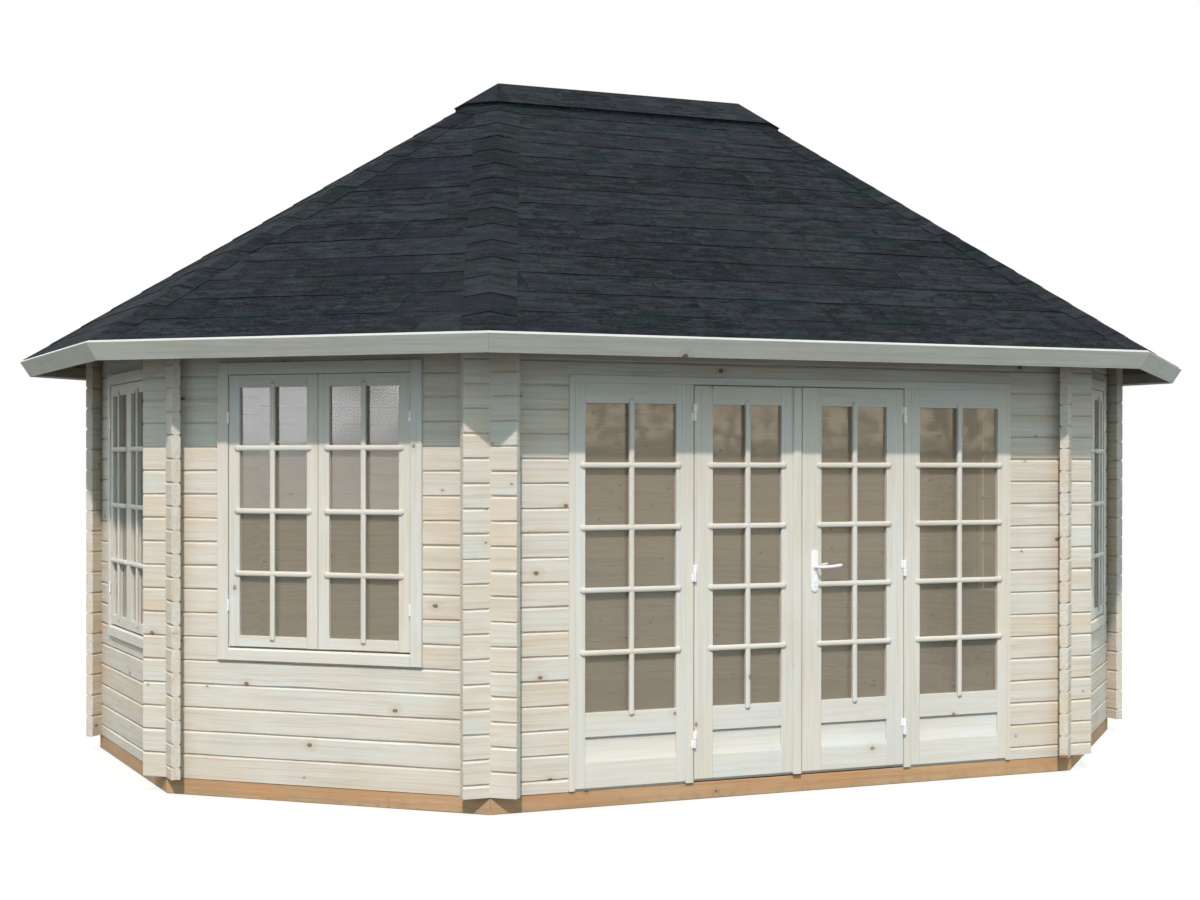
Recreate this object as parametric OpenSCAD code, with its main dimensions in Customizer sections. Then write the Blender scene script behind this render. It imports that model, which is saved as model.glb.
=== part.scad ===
// Log garden gazebo: a stretched octagon of notched log walls under a hipped roof,
// with a glazed double door between two fixed sidelights and four casement windows.
// Origin: centre of the plan on the ground. +X runs right along the front, +Y to the back.

/* [Plan] */
// Outer length of the front wall and of the back wall
front_len = 3250; // [2900:10:4200]
// Outer length of each of the six other walls
side_len = 1714; // [1400:2:2200]

/* [Log walls] */
// Height of one log course
log_h = 114; // [94:1:140]
// Thickness of the logs
wall_t = 44; // [34:1:60]
// Number of log courses, counted on a wall that starts with a whole log
courses = 20; // [18:1:24]
// Length of the log ends past the outer corner
log_end = 130; // [80:1:180]
// Depth of the V groove between two courses
groove_d = 5; // [2:1:8]
// Height of the V groove between two courses
groove_h = 11; // [6:1:20]
// Clearance on each face of a corner notch
notch_clear = 0.2; // [0.1:0.1:1]

/* [Foundation and floor] */
// Height of the foundation beams
beam_h = 80; // [50:1:150]
// Width of the foundation beams
beam_w = 74; // [60:1:120]
// Set-back of the foundation beams from the outer wall face
beam_inset = 4; // [0:1:10]
// Thickness of the floor boards
floor_t = 19; // [16:1:28]
// Gap between the floor boards and the inner wall face
floor_gap = 6; // [2:1:12]
// Width of one floor joist
joist_w = 45; // [35:1:70]
// Number of floor joists
joist_count = 9; // [5:1:13]

/* [Roof] */
// Pitch of all eight roof planes in degrees
pitch = 32.2; // [22:0.1:40]
// Horizontal overhang of the roof past the outer wall face
overhang = 410; // [280:1:500]
// Thickness of the roof boards with their covering, square to the slope
roof_t = 26; // [20:1:45]
// Height of the bevelled wall plates at the outer wall face
plate_h = 34; // [20:1:60]
// Thickness of the fascia boards
fascia_t = 19; // [15:1:28]
// Depth of the fascia boards, square to the slope
fascia_h = 100; // [80:1:140]
// Half depth of the ridge cap in plan
cap_run = 230; // [160:1:320]
// Height of the ridge cap above the roof
cap_t = 24; // [16:1:40]
// Width of the ridge beam and of the hip rafters
rafter_w = 45; // [35:1:70]
// Depth of the ridge beam and of the hip rafters
rafter_h = 95; // [70:1:140]

/* [Door set] */
// Outer width of the whole door set
set_w = 2470; // [2300:2:2700]
// Height of the log wall above the door set
header_h = 349; // [280:1:450]
// Width of the two outer jambs
jamb_w = 28; // [20:1:45]
// Width of the two mullions between a sidelight and the doors
mullion_w = 40; // [30:1:60]
// Height of the frame head
head_h = 36; // [24:1:60]
// Clear width of the doorway between the two mullions
doorway_w = 1182; // [1100:2:1400]
// How far frames and doors stand out from the outer wall face
proud = 8; // [4:1:16]
// Thickness of the door leaves and sidelights
leaf_t = 40; // [32:1:40]
// Clearance round a moving leaf
leaf_gap = 5; // [5:0.5:8]
// Gap between the two leaves where they meet
meeting_gap = 8; // [7:0.5:14]
// Thickness of the stop lip behind the leaves
stop_t = 7; // [5:1:12]
// Width of the stop lip behind the leaves
stop_w = 12; // [8:1:18]
// Width of a leaf's stile on the hinge side
hinge_stile = 98; // [80:1:130]
// Width of a leaf's stile on the lock side
lock_stile = 108; // [90:1:140]
// Width of the stiles of a sidelight
side_stile = 52; // [40:1:80]
// Height of the top rail above the glass, from the underside of the head
top_rail = 94; // [60:1:140]
// Height of the glass above the foundation beams
kick_h = 361; // [250:1:500]
// Width of the cover strip on the left leaf
strip_w = 46; // [30:1:60]
// Thickness of the cover strip on the left leaf
strip_t = 9; // [6:1:14]

/* [Windows] */
// Outer width of a window frame
window_w = 1080; // [900:2:1180]
// Outer height of a window frame
window_h = 1420; // [1200:2:1500]
// Distance from the top of the walls down to the window frames
window_drop = 280; // [240:1:340]
// Shift of the two front corner windows away from the doors
window_shift = 22; // [0:1:60]
// Face width of the window frame
casing_w = 58; // [40:1:80]
// How far the window frame stands out from the outer wall face
casing_proud = 15; // [8:1:24]
// Width of the sash stiles and rails
sash_w = 58; // [40:1:80]
// Thickness of the sashes
sash_t = 36; // [28:1:40]
// Gap between two sashes and round them
sash_gap = 3; // [2:0.5:5]
// How far the frame's stop reaches behind the sashes
sash_stop = 12; // [8:1:20]

/* [Glass] */
// Thickness of the glass
glass_t = 4; // [3:1:8]
// How far the glass reaches into its frame's rebate
glass_lap = 8; // [5:1:12]

/* [Ironmongery] */
// Radius of the hinge barrels
barrel_r = 8; // [6:0.5:11]
// Height of one half of a hinge
barrel_h = 41; // [30:1:60]
// Gap between the two halves of a hinge
barrel_gap = 1; // [0.5:0.1:2]
// Width of a hinge strap from the axis
strap_w = 24; // [18:1:32]
// Thickness of a hinge strap
strap_t = 4; // [3:0.5:6]
// Height of the handle plates
plate_len = 206; // [160:1:260]
// Width of the handle plates
plate_w = 38; // [30:1:50]
// Thickness of the handle plates
plate_t = 8; // [5:1:12]
// Distance of the handle plates' middle from the edge of the right leaf
plate_in = 68; // [40:1:80]
// Height of the lever's axis above the foundation beams
lever_z = 1015; // [900:1:1100]
// Distance from the lever's axis down to the middle of the plates
plate_drop = 21; // [0:1:60]
// Length of the lever from its axis to its tip
lever_len = 130; // [100:1:150]
// Radius of the lever's grip
lever_r = 8; // [6:0.5:10]
// Distance from the leaf's face to the middle of the lever's grip
lever_out = 48; // [36:1:70]
// Running clearance of the lever's neck in its plates
neck_clear = 1; // [0.5:0.1:2]

/* [Hidden] */
$fn = 48;
seat = 0.2;

// Plan: a regular octagon cut through its middle and pulled apart along X
half_turn = 22.5;
depth = side_len * (1 + sqrt(2));
apothem = depth / 2;
stretch = front_len - side_len;
far = 12000;

// Heights
wall_top = beam_h + courses * log_h;
under_z = wall_top + plate_h;
eave_z = under_z + roof_t / cos(pitch) - overhang * tan(pitch);
ridge_under_z = under_z + apothem * tan(pitch);
ridge_z = eave_z + (apothem + overhang) * tan(pitch);

// Door set
door_half = doorway_w / 2;
head_z = wall_top - header_h - head_h;
leaf_z = beam_h + leaf_gap + 2;
leaf_top = head_z - leaf_gap;
leaf_w = door_half - leaf_gap - meeting_gap / 2;
leaf_y = -proud;
stop_y = wall_t - stop_t;
door_glass_z = beam_h + kick_h;
door_glass_top = head_z - top_rail;
axis_x = door_half - leaf_gap / 2;
axis_y = leaf_y - barrel_r - seat;
hinge_h = 2 * barrel_h + barrel_gap;
hinge_zs = [door_glass_z - 196, (door_glass_z + door_glass_top) / 2 - 125, door_glass_top - 80];
lever_x = meeting_gap / 2 + plate_in;
spindle_r = lever_r + neck_clear;

// Windows
window_z = wall_top - window_drop - window_h;
sash_span = window_w - 2 * casing_w - 2 * sash_gap;
sash_len = (sash_span - sash_gap) / 2;
sash_h = window_h - 2 * casing_w - 2 * sash_gap;
sash_y = -casing_proud / 2;
WINDOW_SIDES = [1, 2, 6, 7];

function wall_len(side) = side % 4 == 0 ? front_len : side_len;
function half_log(side) = side % 2 == 0;
function end_shift(side) = side % 4 == 0 ? 0 : (side < 4 ? 1 : -1) * stretch / 2;
function under(y) = under_z + y * tan(pitch);
function window_x(side) = side == 1 ? window_shift : side == 7 ? -window_shift : 0;

// Corners of the stretched octagon at a distance a from its middle line, counted from front left
function ring(a, z) = [for (k = [0:7])
    let (turn = 45 * k - 90 - half_turn, r = a / cos(half_turn))
    [(k >= 1 && k <= 4 ? 1 : -1) * stretch / 2 + r * cos(turn), r * sin(turn), z]];

// Puts a piece drawn on one wall's own axes in place: x along the outer face from its middle
// to the right seen from outside, y inwards from that face
module at_side(side)
    translate([end_shift(side), 0, 0]) rotate(45 * side) translate([0, -apothem, 0]) children();

// A bar along one side with mitred ends; its section is a list of [y, z] points
module mitred(side, section, gap = seat) {
    n = len(section);
    half = wall_len(side) / 2 - gap;
    points = [for (end = [-1, 1], p = section) [end * (half - p[0] * tan(half_turn)), p[0], p[1]]];
    caps = [[for (j = [0:n - 1]) j], [for (j = [n - 1:-1:0]) n + j]];
    skins = [for (j = [0:n - 1]) [j, n + j, n + (j + 1) % n, (j + 1) % n]];
    at_side(side) polyhedron(points, concat(caps, skins));
}

// A section drawn in [y, z] and run along x from one place to another
module run(from, to)
    translate([from, 0, 0]) rotate([90, 0, 90]) linear_extrude(to - from) children();

// ---- Foundation and floor ----

module foundation_beams() color("peru")
    for (side = [0:7])
        mitred(side, [[beam_inset, 0], [beam_inset + beam_w, 0],
            [beam_inset + beam_w, beam_h], [beam_inset, beam_h]], 1);

// Half length of a joist whose outer side lies at a distance x from the middle
function joist_reach(x) =
    let (a = apothem - beam_inset - beam_w)
    min(a, sqrt(2) * a - (x - stretch / 2)) - seat;

module floor_joists() color("burlywood") {
    span = stretch / 2 + apothem - 2 * beam_w - side_len / 4;
    for (k = [0:joist_count - 1]) {
        x = -span + 2 * span * k / (joist_count - 1);
        reach = joist_reach(abs(x) + joist_w / 2);
        translate([x - joist_w / 2, -reach, 0]) cube([joist_w, 2 * reach, beam_h - seat]);
    }
}

module floor_boards() color("wheat")
    translate([0, 0, beam_h]) linear_extrude(floor_t)
        polygon([for (p = ring(apothem - wall_t - floor_gap, 0)) [p[0], p[1]]]);

// ---- Log walls ----

// Heights of the joints between courses on a wall
function joints(side) = [for (k = [half_log(side) ? 0 : 1:courses - 1])
    beam_h + (half_log(side) ? log_h / 2 : 0) + k * log_h];

// Section of a wall between two heights, with a V groove at each joint on both faces
module log_section(side, low, high) {
    g = groove_h / 2;
    inside = [for (z = joints(side)) if (z > low + groove_h && z < high - groove_h) z];
    back = [for (k = [len(inside) - 1:-1:0]) inside[k]];
    polygon(concat([[0, low]],
        [for (z = inside, p = [[0, z - g], [groove_d, z], [0, z + g]]) p],
        [[0, high], [wall_t, high]],
        [for (z = back, p = [[wall_t, z + g], [wall_t - groove_d, z], [wall_t, z - g]]) p],
        [[wall_t, low]]));
}

// Everything above the underside of one roof plane
module above_roof(side)
    at_side(side) translate([0, 0, under_z - 1]) rotate([pitch, 0, 0])
        translate([-far / 2, -far / 4, 0]) cube([far, far / 2, far / 8]);

// The notches that let the logs of one end of a neighbouring wall pass
module notches(neighbour, end, side) {
    first = beam_h + (half_log(side) ? log_h / 4 : -log_h / 4);
    reach = log_end + 3 * wall_t;
    x = end * wall_len(neighbour) / 2 - reach;
    at_side(neighbour) for (k = [0:courses])
        translate([x, -notch_clear, first + k * log_h - notch_clear])
            cube([2 * reach, wall_t + 2 * notch_clear, log_h / 2 + 2 * notch_clear]);
}

// A stack of logs along one side; an end that runs past a corner is notched over the next wall
module log_wall(side, from, to, low = beam_h, high = wall_top) {
    half = wall_len(side) / 2;
    difference() {
        at_side(side) run(from, to) log_section(side, low, high);
        if (to > half) {
            above_roof((side + 1) % 8);
            notches((side + 1) % 8, -1, side);
        }
        if (from < -half) {
            above_roof((side + 7) % 8);
            notches((side + 7) % 8, 1, side);
        }
    }
}

module whole_wall(side) color("antiquewhite")
    log_wall(side, -wall_len(side) / 2 - log_end, wall_len(side) / 2 + log_end);

module window_wall(side) color("antiquewhite") difference() {
    whole_wall(side);
    at_side(side) translate([window_x(side) - window_w / 2 - seat, -1, window_z - seat])
        cube([window_w + 2 * seat, wall_t + 2, window_h + 2 * seat]);
}

module front_wall_left() color("antiquewhite")
    log_wall(0, -front_len / 2 - log_end, -set_w / 2 - seat);
module front_wall_right() color("antiquewhite")
    log_wall(0, set_w / 2 + seat, front_len / 2 + log_end);
module front_wall_header() color("antiquewhite")
    log_wall(0, -set_w / 2, set_w / 2, head_z + head_h + seat);
module front_left_wall() window_wall(7);
module front_right_wall() window_wall(1);
module left_wall() window_wall(6);
module right_wall() window_wall(2);
module back_left_wall() whole_wall(5);
module back_right_wall() whole_wall(3);
module back_wall() whole_wall(4);

// Bevelled timbers that bring the wall tops up to the roof slope
module wall_plates() color("antiquewhite")
    for (side = [0:7])
        mitred(side, [[0, wall_top + seat], [wall_t, wall_top + seat],
            [wall_t, under(wall_t) - seat], [0, under(0) - seat]], 1);

// ---- Roof ----

hip_tan = tan(pitch) * cos(half_turn);
hip_drop = rafter_w / 2 * tan(pitch) * sin(half_turn) + seat;
hub_a = rafter_w / 2 / tan(half_turn) + 1;

// A rafter from the hub at one ridge end down to the inner corner of two walls
module hip_rafter(k) {
    foot = (apothem - wall_t) / cos(half_turn) - rafter_w / 2 * tan(half_turn) - seat;
    top = ridge_under_z - hip_drop;
    h = rafter_h / cos(atan(hip_tan));
    head = hub_a + seat;
    turn = 45 * k - 90 - half_turn;
    translate([(k >= 1 && k <= 4 ? 1 : -1) * stretch / 2, 0, 0]) rotate([90, 0, turn])
        translate([0, 0, -rafter_w / 2]) linear_extrude(rafter_w)
            polygon([[head, top - head * hip_tan], [head, top - h - head * hip_tan],
                [foot, top - h - foot * hip_tan], [foot, top - foot * hip_tan]]);
}

module hip_rafters() color("burlywood") for (k = [0:7]) hip_rafter(k);

module ridge_beam() color("burlywood") {
    hub_top = ridge_under_z - hub_a / cos(half_turn) * tan(pitch) - seat;
    beam_top = ridge_under_z - rafter_w / 2 * tan(pitch) - seat;
    hub_h = rafter_h + hub_a;
    translate([-stretch / 2, -rafter_w / 2, beam_top - rafter_h]) cube([stretch, rafter_w, rafter_h]);
    for (end = [-1, 1]) translate([end * stretch / 2, 0, hub_top - hub_h])
        linear_extrude(hub_h) polygon([for (k = [0:7]) hub_a / cos(half_turn) * [cos(45 * k), sin(45 * k)]]);
}

// One roof plane, from the fascia board's back face up to the ridge
module roof_panel(side) color("darkslategray") {
    eave = [-overhang, eave_z] + (fascia_t + seat) * [cos(pitch), sin(pitch)];
    high = apothem - 1;
    mitred(side, [eave, eave + roof_t * [sin(pitch), -cos(pitch)], [high, under(high)],
        [high, under(high) + roof_t / cos(pitch)]]);
}

module front_roof_panel() roof_panel(0);
module front_right_roof_panel() roof_panel(1);
module right_roof_panel() roof_panel(2);
module back_right_roof_panel() roof_panel(3);
module back_roof_panel() roof_panel(4);
module back_left_roof_panel() roof_panel(5);
module left_roof_panel() roof_panel(6);
module front_left_roof_panel() roof_panel(7);

// Boards nailed square to the slope on the ends of the roof boards
module fascia_boards() color("darkseagreen")
    for (side = [0:7]) {
        top = [-overhang, eave_z];
        along = fascia_t * [cos(pitch), sin(pitch)];
        down = fascia_h * [sin(pitch), -cos(pitch)];
        mitred(side, [top, top + down, top + down + along, top + along], 0.3);
    }

// A low hipped cover over the ridge and the heads of the hips
module ridge_cap() color("darkslategray") {
    rim = ridge_z + seat * 2 - cap_run * tan(pitch);
    peak = ridge_z + seat * 2;
    ends = [-stretch / 2, stretch / 2];
    points = concat(ring(cap_run, rim), ring(cap_run, rim + cap_t),
        [for (x = ends) [x, 0, peak]], [for (x = ends) [x, 0, peak + cap_t]]);
    // index of the ridge point that each side of the ring runs up to, left 0 and right 1
    up = [0, 1, 1, 1, 1, 0, 0, 0];
    under_faces = [for (k = [0:7]) let (n = (k + 1) % 8)
        k % 4 == 0 ? [k, n, 16 + up[n], 16 + 1 - up[n]] : [k, n, 16 + up[k]]];
    top_faces = [for (k = [0:7]) let (n = (k + 1) % 8)
        k % 4 == 0 ? [8 + k, 18 + 1 - up[n], 18 + up[n], 8 + n] : [8 + k, 18 + up[k], 8 + n]];
    rim_faces = [for (k = [0:7]) let (n = (k + 1) % 8) [k, 8 + k, 8 + n, n]];
    polyhedron(points, concat(under_faces, top_faces, rim_faces));
}

// ---- Door set ----

// Repeats a piece drawn right of the middle on the left as well
module both_ways() {
    children();
    mirror([1, 0, 0]) children();
}

module door_posts() color("antiquewhite") at_side(0) both_ways() {
    h = head_z - beam_h - 2 * seat;
    deep = wall_t + proud;
    translate([set_w / 2 - jamb_w, -proud, beam_h + seat]) cube([jamb_w, deep, h]);
    translate([door_half, -proud, beam_h + seat]) cube([mullion_w, deep, h]);
    translate([door_half - stop_w, stop_y, beam_h + seat]) cube([stop_w + 1, stop_t, h]);
}

module door_head() color("antiquewhite") at_side(0) {
    lip = 2 * (door_half - stop_w - seat);
    translate([-set_w / 2, -proud, head_z]) cube([set_w, wall_t + proud, head_h]);
    translate([-lip / 2, stop_y, head_z - stop_w]) cube([lip, stop_t, stop_w + 1]);
}

// A bar behind the leaves that laps over the edge of the floor
module door_threshold() color("tan") at_side(0) {
    reach = door_half - stop_w - seat;
    edge = wall_t + floor_gap - seat;
    floor_z = beam_h + floor_t + seat;
    run(-reach, reach) polygon([[stop_y, beam_h + seat], [edge, beam_h + seat], [edge, floor_z],
        [edge + 30, floor_z], [edge + 30, floor_z + 6], [edge + 24, floor_z + 9], [stop_y, floor_z + 9]]);
}

// A glazed frame right of the middle, with its glass opening
module glazed(x0, x1, z0, z1, gx0, gx1) {
    translate([0, leaf_y, 0]) difference() {
        translate([x0, 0, z0]) cube([x1 - x0, leaf_t, z1 - z0]);
        translate([gx0, -1, door_glass_z]) cube([gx1 - gx0, leaf_t + 2, door_glass_top - door_glass_z]);
        translate([gx0, (leaf_t - glass_t) / 2 - seat, door_glass_z]) glass_room(gx1 - gx0);
    }
}

// The rebate round a glass opening of the door set
module glass_room(width)
    translate([-glass_lap, 0, -glass_lap])
        cube([width + 2 * glass_lap, glass_t + 2 * seat,
            door_glass_top - door_glass_z + 2 * glass_lap]);

// The sheet of glass for an opening of the door set
module door_sheet(gx0, gx1) {
    lap = glass_lap - seat;
    color("lightblue", 0.35)
        translate([gx0 - lap, leaf_y + (leaf_t - glass_t) / 2, door_glass_z - lap])
            cube([gx1 - gx0 + 2 * lap, glass_t, door_glass_top - door_glass_z + 2 * lap]);
}

side_x0 = door_half + mullion_w + seat;
side_x1 = set_w / 2 - jamb_w - seat;
leaf_x0 = meeting_gap / 2;
leaf_x1 = leaf_x0 + leaf_w;

module sidelights() color("antiquewhite") at_side(0) both_ways()
    glazed(side_x0, side_x1, beam_h + seat, head_z - seat, side_x0 + side_stile, side_x1 - side_stile);

module sidelight_glass() at_side(0) both_ways() door_sheet(side_x0 + side_stile, side_x1 - side_stile);

module leaf() glazed(leaf_x0, leaf_x1, leaf_z, leaf_top, leaf_x0 + lock_stile, leaf_x1 - hinge_stile);

module left_door_leaf() color("antiquewhite") at_side(0) mirror([1, 0, 0]) {
    leaf();
    translate([leaf_x0, leaf_y - strip_t, leaf_z]) cube([strip_w, strip_t + 1, leaf_top - leaf_z]);
}

module right_door_leaf() color("antiquewhite") at_side(0) difference() {
    leaf();
    translate([lever_x, 0, beam_h + lever_z]) rotate([90, 0, 0])
        cylinder(r = spindle_r + neck_clear, h = 4 * leaf_t, center = true);
}

module left_door_glass() at_side(0) mirror([1, 0, 0])
    door_sheet(leaf_x0 + lock_stile, leaf_x1 - hinge_stile);
module right_door_glass() at_side(0) door_sheet(leaf_x0 + lock_stile, leaf_x1 - hinge_stile);

// Half of each of the three hinges right of the middle: a barrel and a strap to one side
module hinge_halves(dir, rise) {
    for (z = hinge_zs) translate([axis_x, axis_y, z + rise]) {
        cylinder(r = barrel_r, h = barrel_h);
        translate([dir > 0 ? 0 : -strap_w, barrel_r - strap_t, 0]) cube([strap_w, strap_t, barrel_h]);
    }
}

module left_door_hinges() color("white") at_side(0) mirror([1, 0, 0])
    hinge_halves(-1, barrel_h + barrel_gap);
module right_door_hinges() color("white") at_side(0) hinge_halves(-1, barrel_h + barrel_gap);
module post_hinges() color("white") at_side(0) both_ways() hinge_halves(1, 0);

module handle_plates() color("white") at_side(0) difference() {
    for (y = [leaf_y - plate_t - seat, leaf_y + leaf_t + seat])
        translate([lever_x - plate_w / 2, y, beam_h + lever_z - plate_drop - plate_len / 2])
            cube([plate_w, plate_t, plate_len]);
    translate([lever_x, 0, beam_h + lever_z]) rotate([90, 0, 0])
        cylinder(r = spindle_r, h = 6 * leaf_t, center = true);
}

// One lever outside and one inside, joined by the neck that passes through the leaf
module door_lever() color("white") at_side(0) translate([lever_x, leaf_y + leaf_t / 2, beam_h + lever_z]) {
    half = leaf_t / 2 + lever_out;
    rotate([90, 0, 0]) cylinder(r = lever_r, h = 2 * half, center = true);
    for (y = [-half, half]) translate([0, y, 0]) {
        sphere(r = lever_r);
        rotate([0, 90, 0]) cylinder(r = lever_r, h = lever_len - lever_r);
        translate([lever_len - lever_r, 0, 0]) sphere(r = lever_r);
    }
}

// ---- Windows ----

// Puts a piece in every window, from the middle of the frame's bottom edge
module at_windows()
    for (side = WINDOW_SIDES) at_side(side) translate([window_x(side), 0, window_z]) children();

// The room inside a window frame, narrower by an edge all round, from one depth to another
module frame_room(edge, from, to)
    translate([-window_w / 2 + edge, from, edge]) cube([window_w - 2 * edge, to - from, window_h - 2 * edge]);

// A frame whose back part stands in as a stop that the sashes close against
module window_frames() color("antiquewhite") at_windows() difference() {
    frame_room(0, -casing_proud, wall_t);
    frame_room(casing_w, -casing_proud - 1, sash_y + sash_t + seat);
    frame_room(casing_w + sash_gap + sash_stop, 0, wall_t + 1);
}

// Places the two sashes of a window side by side
module at_sashes()
    for (x = [-sash_span / 2, sash_gap / 2]) translate([x, sash_y, casing_w + sash_gap]) children();

module window_sashes() color("antiquewhite") at_windows() at_sashes() {
    gw = sash_len - 2 * sash_w;
    gh = sash_h - 2 * sash_w;
    difference() {
        cube([sash_len, sash_t, sash_h]);
        translate([sash_w, -1, sash_w]) cube([gw, sash_t + 2, gh]);
        translate([sash_w - glass_lap, (sash_t - glass_t) / 2 - seat, sash_w - glass_lap])
            cube([gw + 2 * glass_lap, glass_t + 2 * seat, gh + 2 * glass_lap]);
    }
}

module window_glass() color("lightblue", 0.35) at_windows() at_sashes() {
    edge = sash_w - glass_lap + seat;
    translate([edge, (sash_t - glass_t) / 2, edge])
        cube([sash_len - 2 * edge, glass_t, sash_h - 2 * edge]);
}

foundation_beams();
floor_joists();
floor_boards();
front_wall_left();
front_wall_right();
front_wall_header();
front_left_wall();
front_right_wall();
left_wall();
right_wall();
back_left_wall();
back_right_wall();
back_wall();
wall_plates();
hip_rafters();
ridge_beam();
front_roof_panel();
front_right_roof_panel();
right_roof_panel();
back_right_roof_panel();
back_roof_panel();
back_left_roof_panel();
left_roof_panel();
front_left_roof_panel();
fascia_boards();
ridge_cap();
door_posts();
door_head();
door_threshold();
sidelights();
sidelight_glass();
left_door_leaf();
right_door_leaf();
left_door_glass();
right_door_glass();
left_door_hinges();
right_door_hinges();
post_hinges();
handle_plates();
door_lever();
window_frames();
window_sashes();
window_glass();
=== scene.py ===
"""Log garden gazebo: its visual model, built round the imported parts.

Lengths are in metres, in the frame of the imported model: +X runs right along the front, +Y to
the back, Z up. A wall's own axes are X to the right seen from outside, Y inwards from the outer
face, Z up from the ground.
"""

from __future__ import annotations

import logging
import math
import random
import sys
from dataclasses import dataclass, field
from enum import Enum, IntEnum
from typing import Callable, Iterable, Sequence

import bmesh
import bpy
from mathutils import Matrix, Vector


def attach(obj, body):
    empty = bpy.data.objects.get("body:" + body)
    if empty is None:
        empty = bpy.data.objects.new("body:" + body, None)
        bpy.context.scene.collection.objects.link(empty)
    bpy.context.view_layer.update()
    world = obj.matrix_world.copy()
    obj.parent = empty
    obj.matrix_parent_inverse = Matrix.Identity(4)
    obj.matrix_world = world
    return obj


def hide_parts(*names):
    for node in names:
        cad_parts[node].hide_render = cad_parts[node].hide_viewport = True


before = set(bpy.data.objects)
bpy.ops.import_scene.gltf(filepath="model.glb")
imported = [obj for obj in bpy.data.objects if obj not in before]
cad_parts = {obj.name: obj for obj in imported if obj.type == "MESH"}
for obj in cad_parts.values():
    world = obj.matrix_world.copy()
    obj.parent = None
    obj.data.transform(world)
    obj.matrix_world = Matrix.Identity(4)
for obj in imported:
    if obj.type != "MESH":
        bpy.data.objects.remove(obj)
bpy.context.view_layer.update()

LOG = logging.getLogger("gazebo")
Colour = tuple[float, float, float]
Point2 = tuple[float, float]
Span = tuple[float, float]
HALF_TURN = math.radians(22.5)
MITRE = math.tan(HALF_TURN)
UP = Vector((0, 0, 1))
BUILDING = "building"

# clearance between pieces that meet
FIT = 0.0002


# ---------------------------------------------------------------- setting out


class Side(IntEnum):
    """The eight walls, counted anticlockwise seen from above."""

    FRONT = 0
    FRONT_RIGHT = 1
    RIGHT = 2
    BACK_RIGHT = 3
    BACK = 4
    BACK_LEFT = 5
    LEFT = 6
    FRONT_LEFT = 7

    @property
    def label(self) -> str:
        """The side's name in lower case."""
        return self.name.lower()


class Along(Enum):
    """The axis of a wall or floor that a board's grain follows."""

    X = ((1, 0, 0), (0, 1, 0), (0, 0, 1))
    Y = ((0, 1, 0), (1, 0, 0), (0, 0, 1))
    Z = ((0, 0, 1), (0, 1, 0), (1, 0, 0))

    @property
    def turn(self) -> Matrix:
        """The matrix that turns this axis to the figure's first one."""
        return Matrix(self.value)


@dataclass(frozen=True)
class Plan:
    """The stretched octagon and the heights that every part is set out from."""

    front_len: float = 3.250
    side_len: float = 1.714
    wall_t: float = 0.044
    beam_h: float = 0.080
    wall_top: float = 2.360
    under_z: float = 2.394
    overhang: float = 0.410
    roof_t: float = 0.026
    pitch: float = math.radians(32.2)

    @property
    def apothem(self) -> float:
        """Distance of every wall's outer face from the octagon's middle line."""
        return self.side_len * (1 + math.sqrt(2)) / 2

    @property
    def stretch(self) -> float:
        """How far the two halves of the octagon are pulled apart."""
        return self.front_len - self.side_len

    @property
    def rise(self) -> float:
        """Height gained for each metre inwards."""
        return math.tan(self.pitch)

    @property
    def reach(self) -> float:
        """Distance of the eaves from the octagon's middle line."""
        return self.apothem + self.overhang

    @property
    def lean(self) -> float:
        """How far a hip draws in along X for each metre up the slope."""
        return MITRE * math.cos(self.pitch)

    @property
    def eave_z(self) -> float:
        """Height of the roof's upper edge over the fascia."""
        return self.under_z + self.roof_t / math.cos(self.pitch) - self.overhang * self.rise

    @property
    def ridge_z(self) -> float:
        """Height of the roof planes at the ridge."""
        return self.eave_z + self.reach * self.rise

    def length(self, side: int) -> float:
        """Outer length of one wall."""
        return self.front_len if side % 4 == 0 else self.side_len

    def shift(self, side: int) -> float:
        """How far a side's octagon half is moved along X."""
        return 0.0 if side % 4 == 0 else math.copysign(self.stretch / 2, 1 if side < 4 else -1)

    def wall(self, side: int) -> Matrix:
        """The matrix from one wall's own axes to the model's.

        Args:
            side: The wall.

        Returns:
            A matrix that places what is drawn on the wall's axes.
        """
        turn = Matrix.Rotation(math.radians(45 * side), 4, "Z")
        return Matrix.Translation((self.shift(side), 0, 0)) @ turn @ Matrix.Translation((0, -self.apothem, 0))

    def slope(self, side: int) -> Matrix:
        """The matrix from one roof plane's own axes to the model's.

        Args:
            side: The wall under the roof plane.

        Returns:
            A matrix for X along the eave, Y up the slope from the eave, Z square out of the roof.
        """
        eave = Matrix.Translation((0, -self.overhang, self.eave_z))
        return self.wall(side) @ eave @ Matrix.Rotation(self.pitch, 4, "X")

    def half_at(self, side: int, up: float) -> float:
        """Half the width of a roof plane at a distance up its slope."""
        inwards = up * math.cos(self.pitch) - self.overhang
        return self.length(side) / 2 - inwards * MITRE

    def slope_len(self) -> float:
        """Length of the roof planes from eave to ridge."""
        return self.reach / math.cos(self.pitch)

    def bearing(self, k: int) -> float:
        """Direction of corner k from its hub, counted from front left."""
        return math.radians(45 * k - 90) - HALF_TURN

    def hub_x(self, k: int) -> float:
        """X of the end of the ridge that corner k belongs to."""
        return self.stretch / 2 * (1 if 1 <= k <= 4 else -1)

    def corner(self, k: int, run: float, z: float) -> Vector:
        """Corner k of the octagon at a distance from its middle line."""
        turn, r = self.bearing(k), run / math.cos(HALF_TURN)
        return Vector((self.hub_x(k) + r * math.cos(turn), r * math.sin(turn), z))


PLAN = Plan()


# ---------------------------------------------------------------- solids


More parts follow.
